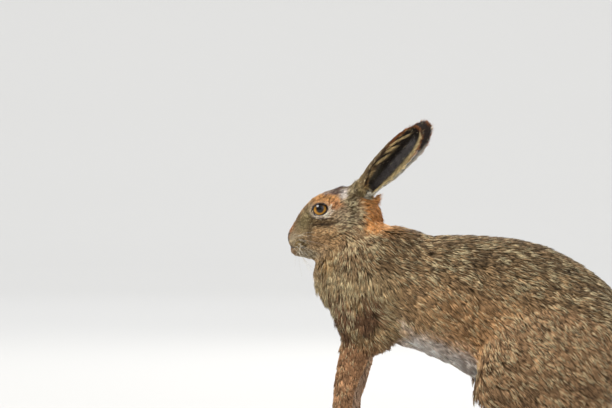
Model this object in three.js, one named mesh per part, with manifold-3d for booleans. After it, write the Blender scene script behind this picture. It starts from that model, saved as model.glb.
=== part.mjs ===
// A brown hare, life size, sitting up and alert with its forelegs under its chest
// and its ears laid back. Millimetres, +Z up, the nose towards -Y and the animal's
// left side towards +X. Lengths along Y are counted back from the nose until the
// last lines centre the animal over the origin.
//
// The flesh is one smooth field made of balls strung along the bones. It is meshed
// piece by piece and parted with thin cuts, so that neighbours share one outline.

import * as THREE from "three";
import { mergeVertices } from "three/addons/utils/BufferGeometryUtils.js";
import Module from "manifold-3d";

const wasm = await Module();
wasm.setup();

// Driving dimensions
const GAP = 0.3; // between neighbouring pieces
const SHORTEST_EDGE = 0.3; // that a cut may leave in a piece
const FLATNESS = 0.1; // how far a dropped vertex may lie from the faces that stay
const EYE_RADIUS = 10;
const EYE_CENTRE = { x: 15.6, y: 35.5, z: 264 };
const LID_THICKNESS = 1.7;
const EYE_OPENING = { length: 18, height: 14, tilt: 0.22 };
const EAR_LENGTH = 113; // from the skull to the tip
const EAR_HALF_WIDTH = 26.5; // of the leaf when it is rolled flat
const EAR_ROOT = { x: 13, y: 80, z: 280 };
const EAR_THICKNESS = 2.4;
const EAR_SUNK = 6; // how far the root lies inside the head
const EAR_BOW = -5; // of the middle line, away from the cup
const CLAW_LENGTH = 12;
const CLAW_RADIUS = 1.7;
const CLAW_SUNK = 4; // length hidden in the toe
const HIND_CLAW_SCALE = 1.25;

// Cell sizes of the meshes, finest where the form is finest
const CELL = { head: 4.1, neck: 8, torso: 12.5, thigh: 10, leg: 6.5, fore: 4.4, hind: 5.6, tail: 7 };

const LEFT = 1;
const RIGHT = -1;
const sideName = (side) => (side === LEFT ? "left" : "right");

// The field

// A ball at a place along the body: r is its radius seen from the side, w its half width.
const ball = (x, y, z, r, w = r) => ({ x, y, z, r, w });

// More balls between the given ones, along a smooth curve through them.
function strung(balls, steps = 4) {
  if (balls.length === 1) return balls;
  const line = new THREE.CatmullRomCurve3(balls.map((b) => new THREE.Vector3(b.x, b.y, b.z)));
  const girth = new THREE.CatmullRomCurve3(balls.map((b) => new THREE.Vector3(b.r, b.w, 0)));
  const count = (balls.length - 1) * steps;
  return Array.from({ length: count + 1 }, (_, i) => {
    const at = line.getPoint(i / count);
    const size = girth.getPoint(i / count);
    return ball(at.x, at.y, at.z, size.x, size.y);
  });
}

// The distance from a point to the round cone between two balls, negative inside.
function coneDistance(x, y, z, a, b) {
  const alongX = b.x - a.x;
  const alongY = b.y - a.y;
  const alongZ = b.z - a.z;
  const span = alongX * alongX + alongY * alongY + alongZ * alongZ;
  const raw = span > 0 ? ((x - a.x) * alongX + (y - a.y) * alongY + (z - a.z) * alongZ) / span : 0;
  const t = Math.min(1, Math.max(0, raw));
  const r = a.r + (b.r - a.r) * t;
  const squeeze = r / (a.w + (b.w - a.w) * t);
  const dx = (x - a.x - alongX * t) * squeeze;
  const dy = y - a.y - alongY * t;
  const dz = z - a.z - alongZ * t;
  const reach = Math.hypot(dx, dy, dz);
  if (reach < 1e-6) return -r;
  const steepness = Math.hypot(dx * squeeze, dy, dz) / reach;
  return (reach - r) / steepness;
}

// A muscle, bone or fold: a string of balls that melts into the rest over `blend` mm.
function muscle(blend, balls, steps) {
  const beads = strung(balls, steps);
  const reach = (key, sign) =>
    sign * Math.max(...beads.map((b) => sign * b[key] + Math.max(b.r, b.w)));
  const low = ["x", "y", "z"].map((key) => reach(key, -1));
  const high = ["x", "y", "z"].map((key) => reach(key, 1));
  const distance = (x, y, z) => {
    if (beads.length === 1) return coneDistance(x, y, z, beads[0], beads[0]);
    let nearest = Infinity;
    for (let i = 1; i < beads.length; i++) {
      nearest = Math.min(nearest, coneDistance(x, y, z, beads[i - 1], beads[i]));
    }
    return nearest;
  };
  return { blend, low, high, distance };
}

const smoothMin = (a, b, blend) => {
  const h = Math.max(blend - Math.abs(a - b), 0) / blend;
  return h > 0 ? Math.min(a, b) - (h * h * blend) / 4 : Math.min(a, b);
};

function fieldOf(muscles) {
  return (x, y, z) => {
    let d = Infinity;
    for (const m of muscles) {
      const away = Math.hypot(
        Math.max(m.low[0] - x, 0, x - m.high[0]),
        Math.max(m.low[1] - y, 0, y - m.high[1]),
        Math.max(m.low[2] - z, 0, z - m.high[2]),
      );
      if (away < d + m.blend) d = smoothMin(d, m.distance(x, y, z), m.blend);
    }
    return d;
  };
}

// Trunk and neck, on the middle plane

const trunk = muscle(10, [
  ball(0, 80, 190, 49, 43),
  ball(0, 112, 187, 54, 48),
  ball(0, 158, 177, 59, 53),
  ball(0, 210, 168, 67, 59),
  ball(0, 260, 155, 73, 63),
  ball(0, 302, 131, 73, 63),
  ball(0, 330, 100, 64, 58),
]);
const seat = muscle(24, [ball(0, 338, 84, 54, 44), ball(0, 345, 46, 34, 26)]);
const belly = muscle(20, [ball(0, 120, 152, 34, 32), ball(0, 190, 128, 38, 40), ball(0, 250, 100, 44, 40)]);
const neck = muscle(16, [
  ball(0, 78, 256, 26, 24),
  ball(0, 74, 228, 34, 32),
  ball(0, 82, 200, 47, 41),
]);
const withers = muscle(12, [ball(0, 98, 224, 24, 22), ball(0, 124, 214, 28, 30)]);

function shoulderMuscles(side) {
  return [
    muscle(22, [
      ball(side * 26, 112, 214, 26, 15),
      ball(side * 32, 92, 182, 34, 18),
      ball(side * 30, 78, 152, 26, 16),
    ]),
    // upper arm and elbow
    muscle(12, [ball(side * 26, 78, 152, 23, 15), ball(side * 26, 98, 124, 18, 13)]),
  ];
}

function haunchMuscles(side) {
  return [
    muscle(16, [
      ball(side * 42, 322, 112, 56, 28),
      ball(side * 47, 288, 96, 62, 27),
      ball(side * 49, 254, 80, 46, 22),
      ball(side * 49, 232, 66, 28, 16),
    ]),
    muscle(12, [ball(side * 50, 236, 54, 22, 15), ball(side * 50, 290, 42, 26, 17), ball(side * 48, 342, 28, 19, 14)]),
  ];
}

// Forelegs: the left one stands a little ahead of the right one

const FORELEG_STEP = { [LEFT]: -4, [RIGHT]: 6 };

const wristOf = (side) => ball(side * 18, 64 + FORELEG_STEP[side], 34, 10.5, 10.5);

function forelegMuscles(side) {
  const wrist = wristOf(side);
  return [
    muscle(10, [
      ball(side * 25, 78, 134, 24, 15),
      ball(side * 22, 77 + FORELEG_STEP[side] / 2, 106, 18, 13.5),
      ball(side * 20, 71 + FORELEG_STEP[side], 80, 14, 12),
      ball(side * 19, 66 + FORELEG_STEP[side], 56, 11.5, 11),
      wrist,
    ]),
    muscle(8, [wrist, ball(side * 18.5, wrist.y - 4, 16, 11, 12.5), ball(side * 19, wrist.y - FORE_BALL, 8.2, 10, 14)]),
    ...toesOf(side, wrist.y - FORE_BALL, FORE_TOES),
  ];
}

// Hind feet, flat on the ground under the haunches

const HEEL_Y = 338;
const HIND_BALL = 98; // from the heel to the ball of the foot
const FORE_BALL = 12; // from the wrist to the ball of the paw

function hindFootMuscles(side) {
  return [
    muscle(9, [
      ball(side * 47, HEEL_Y, 14.5, 15.5, 13),
      ball(side * 48, HEEL_Y - 38, 13.5, 14.5, 13.5),
      ball(side * 49, HEEL_Y - 76, 11, 12, 15),
      ball(side * 50, HEEL_Y - 98, 9.5, 10.5, 16),
    ]),
    ...toesOf(side, HEEL_Y - HIND_BALL, HIND_TOES),
  ];
}

// Toes fan out from the ball of a foot: sideways offsets at the root and at the tip,
// and how far each one reaches.
const FORE_TOES = {
  x: 19,
  radius: 5,
  toes: [
    { root: -8.5, tip: -11.5, reach: 17 },
    { root: -3, tip: -4, reach: 24 },
    { root: 3, tip: 4, reach: 24.5 },
    { root: 8.5, tip: 11.5, reach: 19 },
  ],
};
const HIND_TOES = {
  x: 50,
  radius: 5.8,
  toes: [
    { root: -10, tip: -14, reach: 24 },
    { root: -3.5, tip: -4.8, reach: 33 },
    { root: 3.5, tip: 4.8, reach: 33 },
    { root: 10, tip: 14, reach: 25 },
  ],
};

function toesOf(side, fromY, { x, radius, toes }) {
  return toes.map(({ root, tip, reach }) =>
    muscle(3, [
      ball(side * x + root, fromY + 4, radius + 3, radius),
      ball(side * x + (root + tip) / 2, fromY - reach * 0.55, radius + 1, radius * 1.08),
      ball(side * x + tip, fromY - reach, radius * 0.86 - 0.6, radius * 0.86),
    ]),
  );
}

const TAIL = [
  ball(0, 372, 44, 21, 18),
  ball(0, 393, 27, 19, 18),
  ball(0, 414, 16.4, 17, 17),
  ball(0, 430, 12, 12.5, 13),
];
const tail = muscle(10, TAIL);

// Head

function headMuscles() {
  const midline = [
    muscle(8, [
      ball(0, 8.5, 236, 8, 7.6),
      ball(0, 17, 245, 11, 9.5),
      ball(0, 28, 256, 14.5, 12),
      ball(0, 41, 264, 17.5, 16),
      ball(0, 57, 267.5, 19.5, 19.5),
      ball(0, 79, 265, 21, 20),
    ]),
    muscle(8, [
      ball(0, 14, 229, 10.5, 11.5),
      ball(0, 26, 233, 16, 14.5),
      ball(0, 41, 239, 21, 19),
      ball(0, 58, 244, 25, 22.5),
    ]),
    muscle(4, [ball(0, 9, 218, 6, 6.5), ball(0, 19, 218.5, 8.5, 8), ball(0, 32, 221, 14, 13)]),
  ];
  const paired = [LEFT, RIGHT].flatMap((side) => [
    // whisker pad and upper lip
    muscle(4, [ball(side * 5, 8.5, 229, 7.6, 6.4), ball(side * 7, 15, 228, 9, 7.2)]),
    // cheek, below and behind the eye
    muscle(12, [ball(side * 13, 38, 240, 14, 9), ball(side * 15, 58, 240, 18, 11)]),
    // brow, which shades the eye
    muscle(6, [ball(side * 14, 29, 270.5, 6, 5), ball(side * 15, 40, 275, 6.5, 5.5), ball(side * 14, 52, 274, 7, 6)]),
    // lids, drawn round the eyeball
    muscle(3, [ball(side * EYE_CENTRE.x, EYE_CENTRE.y, EYE_CENTRE.z, EYE_RADIUS + LID_THICKNESS)]),
    // root of the ear
    muscle(9, [
      ball(side * 11, 72, 269, 14, 12),
      ball(side * EAR_ROOT.x, EAR_ROOT.y, EAR_ROOT.z, 13, 12.5),
      ball(side * (EAR_ROOT.x + 3), EAR_ROOT.y + 8, EAR_ROOT.z + 8, 12.4),
    ]),
  ]);
  return [...midline, ...paired];
}

const flesh = fieldOf([
  trunk,
  belly,
  seat,
  neck,
  withers,
  ...[LEFT, RIGHT].flatMap(shoulderMuscles),
  ...[LEFT, RIGHT].flatMap(haunchMuscles),
  ...headMuscles(),
  tail,
  ...[LEFT, RIGHT].flatMap(hindFootMuscles),
  ...[LEFT, RIGHT].flatMap(forelegMuscles),
]);

function slopeOf(field, x, y, z, step = 0.05) {
  return [
    (field(x + step, y, z) - field(x - step, y, z)) / (2 * step),
    (field(x, y + step, z) - field(x, y - step, z)) / (2 * step),
    (field(x, y, z + step) - field(x, y, z - step)) / (2 * step),
  ];
}

// Moves a point along the field's slope until it lies on the skin.
function ontoSkin(field, point, rounds = 3) {
  let [x, y, z] = point;
  for (let i = 0; i < rounds; i++) {
    const d = field(x, y, z);
    const [gx, gy, gz] = slopeOf(field, x, y, z);
    const steep = gx * gx + gy * gy + gz * gz;
    if (steep < 1e-6) break;
    const pull = Math.max(-2, Math.min(2, d)) / steep;
    x -= gx * pull;
    y -= gy * pull;
    z -= gz * pull;
  }
  return [x, y, z];
}

// Meshing

// The skin inside a box as a closed mesh: one vertex in each cell that the skin crosses,
// moved onto the skin, and one quad round each grid edge that it crosses.
function skinMesh(field, low, high, cell) {
  const count = low.map((v, i) => Math.ceil((high[i] - v) / cell) + 1);
  const stride = [1, count[0], count[0] * count[1]];
  const values = new Float32Array(count[0] * count[1] * count[2]);
  const isRim = (i, j, k) => [i, j, k].some((v, axis) => v === 0 || v === count[axis] - 1);
  const placeOf = (i, j, k) => [low[0] + i * cell, low[1] + j * cell, low[2] + k * cell];
  for (let k = 0, at = 0; k < count[2]; k++) {
    for (let j = 0; j < count[1]; j++) {
      for (let i = 0; i < count[0]; i++, at++) {
        values[at] = isRim(i, j, k) ? cell : field(...placeOf(i, j, k));
      }
    }
  }
  const corners = Array.from({ length: 8 }, (_, c) => [c & 1, (c >> 1) & 1, c >> 2]);
  const vertexOf = new Int32Array(values.length).fill(-1);
  const vertices = [];
  for (let k = 0; k < count[2] - 1; k++) {
    for (let j = 0; j < count[1] - 1; j++) {
      for (let i = 0; i < count[0] - 1; i++) {
        const at = i + j * stride[1] + k * stride[2];
        const held = corners.map(([a, b, c]) => values[at + a + b * stride[1] + c * stride[2]]);
        if (held.every((v) => v < 0) || held.every((v) => v >= 0)) continue;
        const sum = [0, 0, 0];
        let crossings = 0;
        for (let p = 0; p < 8; p++) {
          for (const axis of [0, 1, 2]) {
            const q = p | (1 << axis);
            if (q === p || held[p] < 0 === held[q] < 0) continue;
            const share = held[p] / (held[p] - held[q]);
            corners[p].forEach((v, n) => (sum[n] += v + (n === axis ? share : 0)));
            crossings++;
          }
        }
        const spot = placeOf(...[i, j, k].map((v, n) => v + sum[n] / crossings));
        const rim = [i, j, k].some((v, axis) => v < 2 || v > count[axis] - 4);
        vertexOf[at] = vertices.length / 3;
        vertices.push(...(rim ? spot : ontoSkin(field, spot)));
      }
    }
  }
  const distance = (a, b) =>
    Math.hypot(...[0, 1, 2].map((n) => vertices[3 * a + n] - vertices[3 * b + n]));
  const faces = [];
  for (let k = 0; k < count[2] - 1; k++) {
    for (let j = 0; j < count[1] - 1; j++) {
      for (let i = 0; i < count[0] - 1; i++) {
        const at = i + j * stride[1] + k * stride[2];
        for (const axis of [0, 1, 2]) {
          // on the box's own sides nothing is inside, so no edge there is crossed
          if ([i, j, k].some((v, n) => n !== axis && v === 0)) continue;
          const from = values[at] < 0;
          if (from === values[at + stride[axis]] < 0) continue;
          const b = stride[(axis + 1) % 3];
          const c = stride[(axis + 2) % 3];
          const ring = [at - b - c, at - c, at, at - b].map((v) => vertexOf[v]);
          if (!from) ring.reverse();
          const [p, q, r, s] = ring;
          if (distance(p, r) < distance(q, s)) faces.push(p, q, r, p, r, s);
          else faces.push(p, q, s, q, r, s);
        }
      }
    }
  }
  return closedGeometry(vertices, faces);
}

function closedGeometry(vertices, faces) {
  const geometry = new THREE.BufferGeometry();
  geometry.setAttribute("position", new THREE.Float32BufferAttribute(vertices, 3));
  geometry.setIndex(faces);
  return geometry;
}

// Solids

function solidOf(geometry) {
  const bare = geometry.clone();
  bare.deleteAttribute("normal");
  bare.deleteAttribute("uv");
  const merged = mergeVertices(bare, 1e-3);
  return new wasm.Manifold(
    new wasm.Mesh({
      numProp: 3,
      vertProperties: new Float32Array(merged.attributes.position.array),
      triVerts: new Uint32Array(merged.index.array),
    }),
  );
}

// Of a cut solid only the largest piece is kept, which drops loose scraps.
const largest = (solid) =>
  solid.decompose().reduce((best, piece) => (piece.volume() > best.volume() ? piece : best));

// Draws an edge together into one of its ends wherever the edge is very short, or the
// faces round the end that goes all pass close by the end that stays. This
// takes away the slivers that cuts leave, and no face turns over.
function simplified(places, faces, most) {
  let flatness = 0;
  const facesOf = new Map();
  faces.forEach((face, id) => face.forEach((v) => (facesOf.get(v) ?? facesOf.set(v, new Set()).get(v)).add(id)));
  const around = (v) => new Set([...facesOf.get(v)].flatMap((id) => faces[id]).filter((u) => u !== v));
  const normalOf = (face) => {
    const [a, b, c] = face.map((v) => places[v]);
    return b.clone().sub(a).cross(c.clone().sub(a));
  };
  const swapped = (face, gone, kept) => face.map((v) => (v === gone ? kept : v));
  const keepsShape = (id, gone, kept) => {
    const normal = normalOf(faces[id]);
    const area = normal.length();
    const off = Math.abs(normal.dot(places[kept].clone().sub(places[gone]))) / Math.max(area, 1e-9);
    return area < 0.01 || off < flatness;
  };
  const keepsFacing = (id, gone, kept) => {
    const normal = normalOf(faces[id]);
    const later = normalOf(swapped(faces[id], gone, kept));
    return later.dot(normal) > 0.7 * later.length() * normal.length() && later.length() > 1e-3;
  };
  const collapse = (gone, kept) => {
    const ids = [...facesOf.get(gone)];
    const moved = ids.filter((id) => !faces[id].includes(kept));
    const short = places[gone].distanceTo(places[kept]) < SHORTEST_EDGE;
    if (!short && !ids.every((id) => keepsShape(id, gone, kept))) return false;
    if (!moved.every((id) => keepsFacing(id, gone, kept))) return false;
    const ring = around(kept);
    if ([...around(gone)].filter((v) => ring.has(v)).length !== 2) return false;
    for (const id of ids.filter((f) => !moved.includes(f))) {
      faces[id].forEach((v) => facesOf.get(v).delete(id));
      faces[id] = null;
    }
    for (const id of moved) {
      faces[id] = swapped(faces[id], gone, kept);
      facesOf.get(kept).add(id);
    }
    facesOf.delete(gone);
    return true;
  };
  for (const share of [0.1, 0.4, 1, 1]) {
    flatness = most * share;
    for (let id = 0; id < faces.length; id++) {
      for (let n = 0; n < 3 && faces[id]; n++) {
        const [a, b] = [faces[id][n], faces[id][(n + 1) % 3]];
        if (!collapse(a, b)) collapse(b, a);
      }
    }
  }
  return faces.filter((face) => face);
}

// Where two sheets of a surface touch, each is drawn inwards by a hair's breadth.
function partTouching(places, faces) {
  const normals = places.map(() => new THREE.Vector3());
  for (const face of faces) {
    const [a, b, c] = face.map((v) => places[v]);
    const normal = b.clone().sub(a).cross(c.clone().sub(a));
    face.forEach((v) => normals[v].add(normal));
  }
  const used = new Set(faces.flat());
  const at = new Map();
  for (const v of used) {
    const key = places[v].toArray().map((n) => Math.round(n * 100)).join();
    at.set(key, [...(at.get(key) ?? []), v]);
  }
  for (const group of at.values()) {
    if (group.length > 1) group.forEach((v) => places[v].addScaledVector(normals[v].normalize(), -0.03));
  }
}

function meshOf(name, solid, material, flatness = FLATNESS) {
  const { numProp, vertProperties, triVerts } = largest(solid).getMesh();
  const places = [];
  for (let i = 0; i < vertProperties.length; i += numProp) {
    places.push(new THREE.Vector3(...vertProperties.subarray(i, i + 3)));
  }
  const faces = [];
  for (let i = 0; i < triVerts.length; i += 3) faces.push(Array.from(triVerts.subarray(i, i + 3)));
  const kept = simplified(places, faces, flatness);
  partTouching(places, kept);
  const geometry = closedGeometry(places.flatMap((p) => p.toArray()), kept.flat());
  geometry.computeVertexNormals();
  const mesh = new THREE.Mesh(geometry, material);
  mesh.name = name;
  return mesh;
}

// Everything on the side of a plane that its normal points to, starting `inset` beyond it.
function halfSpace([px, py, pz], normal, inset = GAP / 2) {
  const size = 1200;
  const direction = new THREE.Vector3(...normal).normalize();
  const box = new THREE.BoxGeometry(size, size, size);
  box.applyQuaternion(new THREE.Quaternion().setFromUnitVectors(new THREE.Vector3(0, 0, 1), direction));
  const centre = direction.clone().multiplyScalar(size / 2 + inset);
  return solidOf(box.translate(px + centre.x, py + centre.y, pz + centre.z));
}

function boxBetween(low, high) {
  const box = new THREE.BoxGeometry(...high.map((v, i) => v - low[i]));
  return solidOf(box.translate(...high.map((v, i) => (v + low[i]) / 2)));
}

function ellipsoid([x, y, z], [rx, ry, rz], turnX = 0) {
  const round = new THREE.SphereGeometry(1, 24, 14);
  return solidOf(round.scale(rx, ry, rz).rotateX(turnX).translate(x, y, z));
}

// Planes and cutters that part the flesh

const HEAD_PLANE = { at: [0, 66, 243], normal: [0, -80, 67] };
const NECK_PLANE = { at: [0, 75, 212], normal: [0, -68, 85] };
const TAIL_PLANE = { at: [0, 384, 42], normal: [0, 0.86, -0.5] };
const HIND_FOOT_TOP = 29;
const WRIST_TOP = 36;
const GROUND = boxBetween([-400, -400, 0], [400, 800, 800]);

const turned = (normal) => normal.map((v) => -v);
const beyond = ({ at, normal }) => halfSpace(at, normal);
const before = ({ at, normal }) => halfSpace(at, turned(normal));

const THIGH = { x: 64, y: 286, z: 88, rx: 42, ry: 84, rz: 70, turn: 0.35 };

const thighCutter = (side, grow) =>
  ellipsoid(
    [side * THIGH.x, THIGH.y, THIGH.z],
    [THIGH.rx + grow, THIGH.ry + grow, THIGH.rz + grow],
    THIGH.turn,
  );

function hindFootCutter(side, grow) {
  const inner = 23 - grow;
  const outer = 95;
  const [low, high] = side === LEFT ? [inner, outer] : [-outer, -inner];
  return boxBetween([low, 150, -60], [high, 374 + grow, HIND_FOOT_TOP + grow]);
}

// A capsule round the foreleg, from under the paw to the elbow
function forelegCutter(side, grow) {
  const foot = new THREE.Vector3(side * 19.5, 58 + FORELEG_STEP[side], -30);
  const elbow = new THREE.Vector3(side * 25, 84, 104);
  const radius = 29 + grow;
  const way = elbow.clone().sub(foot);
  const capsule = new THREE.CapsuleGeometry(radius, way.length(), 5, 16);
  capsule.scale(0.78, 1, 1);
  capsule.applyQuaternion(
    new THREE.Quaternion().setFromUnitVectors(new THREE.Vector3(0, 1, 0), way.clone().normalize()),
  );
  const middle = foot.clone().add(elbow).multiplyScalar(0.5);
  return solidOf(capsule.translate(middle.x, middle.y, middle.z));
}

// Materials, from the photograph's colours

const coat = (color, roughness = 0.9) => new THREE.MeshStandardMaterial({ color, roughness, metalness: 0 });
const COAT = {
  head: coat(0x8a7452),
  neck: coat(0xa87f4a),
  body: coat(0x94805c),
  leg: coat(0xa2763f),
  ear: coat(0x6d5c48),
  tail: coat(0x3a3128),
  eye: new THREE.MeshStandardMaterial({ color: 0x5a3d12, roughness: 0.08, metalness: 0 }),
  claw: new THREE.MeshStandardMaterial({ color: 0x2a221c, roughness: 0.45, metalness: 0 }),
};

// Eyes and their sockets

const eyeGeometry = (side, radius) =>
  new THREE.SphereGeometry(radius, 16, 11)
    .rotateZ(Math.PI / 2)
    .translate(side * EYE_CENTRE.x, EYE_CENTRE.y, EYE_CENTRE.z);

// The almond between the lids, as a prism that reaches outwards from the eye's centre.
function eyeOpening(side) {
  const { length, height, tilt } = EYE_OPENING;
  const almond = new THREE.Shape();
  almond.moveTo(-length / 2, -height * 0.12);
  almond.bezierCurveTo(-length * 0.46, height * 0.5, length * 0.1, height * 0.68, length / 2, 0);
  almond.bezierCurveTo(length * 0.2, -height * 0.56, -length * 0.4, -height * 0.66, -length / 2, -height * 0.12);
  const prism = new THREE.ExtrudeGeometry(almond, { depth: 30, bevelEnabled: false, curveSegments: 8 });
  // the prism's depth points sideways, its length back and its height up
  prism.rotateZ(tilt).rotateX(Math.PI / 2).rotateZ(Math.PI / 2);
  if (side === RIGHT) prism.rotateZ(Math.PI).applyMatrix4(new THREE.Matrix4().makeScale(1, -1, 1));
  prism.translate(side * EYE_CENTRE.x, EYE_CENTRE.y, EYE_CENTRE.z);
  return solidOf(side === RIGHT ? flipped(prism) : prism);
}

// A mirrored geometry with its faces turned out again.
function flipped(geometry) {
  const flat = geometry.index ? geometry.toNonIndexed() : geometry;
  const place = flat.attributes.position;
  for (let i = 0; i < place.count; i += 3) {
    const [bx, by, bz] = [place.getX(i + 1), place.getY(i + 1), place.getZ(i + 1)];
    place.setXYZ(i + 1, place.getX(i + 2), place.getY(i + 2), place.getZ(i + 2));
    place.setXYZ(i + 2, bx, by, bz);
  }
  return flat;
}

// Grooves of the mouth and nostrils

// A thin round bar along a line that is laid on the skin, to cut a groove with.
function groove(points, radius) {
  const laid = points.map((p) => new THREE.Vector3(...ontoSkin(flesh, p, 8)));
  const section = new THREE.Shape().absarc(0, 0, radius, 0, 2 * Math.PI);
  const bar = new THREE.ExtrudeGeometry(section, {
    extrudePath: new THREE.CatmullRomCurve3(laid),
    steps: 10,
    curveSegments: 3,
    bevelEnabled: false,
  });
  return solidOf(bar);
}

function headGrooves() {
  const cuts = [groove([[0, 0.5, 232], [0, 1.5, 227], [0, 3, 222.5]], 0.9)];
  for (const side of [LEFT, RIGHT]) {
    cuts.push(groove([[side * 0.5, 3, 222.6], [side * 6, 6, 221.5], [side * 11, 13, 221], [side * 13, 21, 222]], 0.9));
    cuts.push(ellipsoid([side * 3.6, 1.6, 236.5], [1.1, 2.6, 1.5], -0.5));
  }
  return cuts;
}

// Ears: a leaf of skin rolled into a tube at its root and opening to a cup

const EAR_LEAN = { [LEFT]: 0.6, [RIGHT]: 0.1 }; // outwards, in radians
const EAR_SLOPE = { [LEFT]: 0.82, [RIGHT]: 0.765 }; // above the horizontal, seen from the side
const EAR_TURN = 0.5; // of the cup towards the front
const EAR_ROWS = 21;
const EAR_COLUMNS = 12;
const EAR_PLUG = 7; // length of the closed tube at the root
const EAR_END = 0.985; // share of the length at which the rounded tip is closed

// The ear's own axes: along it, out of its cup, and across it.
function earFrame(side) {
  const lean = EAR_LEAN[side];
  const slope = EAR_SLOPE[side];
  const along = new THREE.Vector3(
    side * Math.sin(lean),
    Math.cos(lean) * Math.cos(slope),
    Math.cos(lean) * Math.sin(slope),
  );
  const outwards = new THREE.Vector3(side, 0, 0);
  outwards.addScaledVector(along, -outwards.dot(along)).normalize();
  outwards.applyAxisAngle(along, side * EAR_TURN);
  const across = new THREE.Vector3().crossVectors(along, outwards);
  const root = new THREE.Vector3(side * EAR_ROOT.x, EAR_ROOT.y, EAR_ROOT.z).addScaledVector(along, EAR_SUNK);
  return { along, outwards, across, root };
}

const mix = THREE.MathUtils.lerp;
const smoothstep = THREE.MathUtils.smoothstep;

// Half the leaf's width and half the angle that it is rolled through, at a share of its length.
function earSection(s) {
  const swell = mix(1.06, 1, smoothstep(s, 0, 0.3));
  const tipStart = 0.42;
  const toTip = Math.max(0, (s - tipStart) / (1 - tipStart));
  const halfWidth = EAR_HALF_WIDTH * swell * Math.pow(1 - Math.pow(toTip, 2.2), 0.62);
  const roll = mix(2.7, 1.75, smoothstep(s, 0.02, 0.42)) - 0.75 * smoothstep(s, 0.42, 1);
  return { halfWidth, roll, radius: halfWidth / roll };
}

function earShell(side) {
  const { along, outwards, across, root } = earFrame(side);
  const vertices = [];
  const place = (s, a, face) => {
    const { roll, radius } = earSection(s);
    const angle = a * roll;
    const bow = EAR_BOW * Math.sin(Math.PI * s);
    const thick = EAR_THICKNESS * mix(1, 0.7, s) * mix(1, 0.62, a * a);
    const reach = radius + (face * thick) / 2;
    return root
      .clone()
      .addScaledVector(along, s * EAR_LENGTH - EAR_SUNK)
      .addScaledVector(outwards, bow + radius - reach * Math.cos(angle) - earSection(0).radius)
      .addScaledVector(across, reach * Math.sin(angle));
  };
  for (const face of [1, -1]) {
    for (let i = 0; i <= EAR_ROWS; i++) {
      for (let j = 0; j <= EAR_COLUMNS; j++) {
        vertices.push(...place((i / EAR_ROWS) * EAR_END, (2 * j) / EAR_COLUMNS - 1, face).toArray());
      }
    }
  }
  const width = EAR_COLUMNS + 1;
  const inner = (EAR_ROWS + 1) * width;
  const faces = [];
  const quad = (p, q, r, s) => faces.push(p, r, q, p, s, r);
  for (let i = 0; i < EAR_ROWS; i++) {
    for (let j = 0; j < EAR_COLUMNS; j++) {
      const a = i * width + j;
      const corners = [a, a + 1, a + 1 + width, a + width];
      quad(...corners);
      // the inner face is split along the same diagonal
      const [p, q, r, s] = corners.map((v) => v + inner);
      faces.push(p, q, r, p, r, s);
    }
  }
  for (let i = 0; i < EAR_ROWS; i++) {
    const a = i * width;
    const b = a + EAR_COLUMNS;
    quad(a + inner, a, a + width, a + width + inner);
    quad(b, b + inner, b + width + inner, b + width);
  }
  for (let j = 0; j < EAR_COLUMNS; j++) {
    const b = EAR_ROWS * width + j;
    quad(j, j + inner, j + 1 + inner, j + 1);
    quad(b, b + 1, b + 1 + inner, b + inner);
  }
  return solidOf(closedGeometry(vertices, faces));
}

function earSolid(side) {
  const { along, outwards, root } = earFrame(side);
  const { radius } = earSection(0);
  const plug = new THREE.CylinderGeometry(radius * 0.96, radius + EAR_THICKNESS * 0.3, EAR_PLUG + 8, 20);
  plug.applyQuaternion(new THREE.Quaternion().setFromUnitVectors(new THREE.Vector3(0, 1, 0), along));
  const middle = root.clone().addScaledVector(along, (EAR_PLUG - 8) / 2);
  plug.translate(middle.x, middle.y, middle.z);
  return earShell(side).add(solidOf(plug)).intersect(halfSpace(root.toArray(), along.toArray()));
}

// Claws: tapered, curved horns that stand out of the toes' tips

function claw(x, y, z, scale, foot) {
  const rings = 3;
  const sides = 6;
  const length = CLAW_LENGTH * scale;
  const vertices = [];
  for (let i = 0; i <= rings; i++) {
    const t = i / rings;
    const r = CLAW_RADIUS * scale * mix(1, 0.16, t * t);
    const cy = y + CLAW_SUNK - length * t;
    const cz = z + 1.2 * scale * Math.sin(t * 2.2) - 2.2 * scale * t * t;
    for (let j = 0; j < sides; j++) {
      const angle = (2 * Math.PI * j) / sides;
      vertices.push(x + r * 0.8 * Math.cos(angle), cy, cz + r * Math.sin(angle));
    }
  }
  vertices.push(x, y + CLAW_SUNK, z, x, y + CLAW_SUNK - length, z + 1.2 * scale * Math.sin(2.2) - 2.2 * scale);
  const [rootCentre, tipCentre] = [(rings + 1) * sides, (rings + 1) * sides + 1];
  const faces = [];
  for (let j = 0; j < sides; j++) {
    const next = (j + 1) % sides;
    for (let i = 0; i < rings; i++) {
      const [a, b] = [i * sides + j, i * sides + next];
      faces.push(a, b, a + sides, b, b + sides, a + sides);
    }
    faces.push(rootCentre, next, j);
    faces.push(tipCentre, rings * sides + j, rings * sides + next);
  }
  const horn = solidOf(closedGeometry(vertices, faces));
  return largest(horn.subtract(foot)).translate([0, -GAP, 0]).intersect(GROUND);
}

function clawsOf(side, label, fromY, { x, radius, toes }, scale, foot) {
  return toes.map(({ tip, reach }, i) =>
    meshOf(
      `claw_${label}_${sideName(side)}_${i + 1}`,
      claw(side * x + tip, fromY - reach - 1, radius * 0.9, scale, foot),
      COAT.claw,
      FLATNESS / 5,
    ),
  );
}

// The animal

const hare = new THREE.Group();

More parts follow.
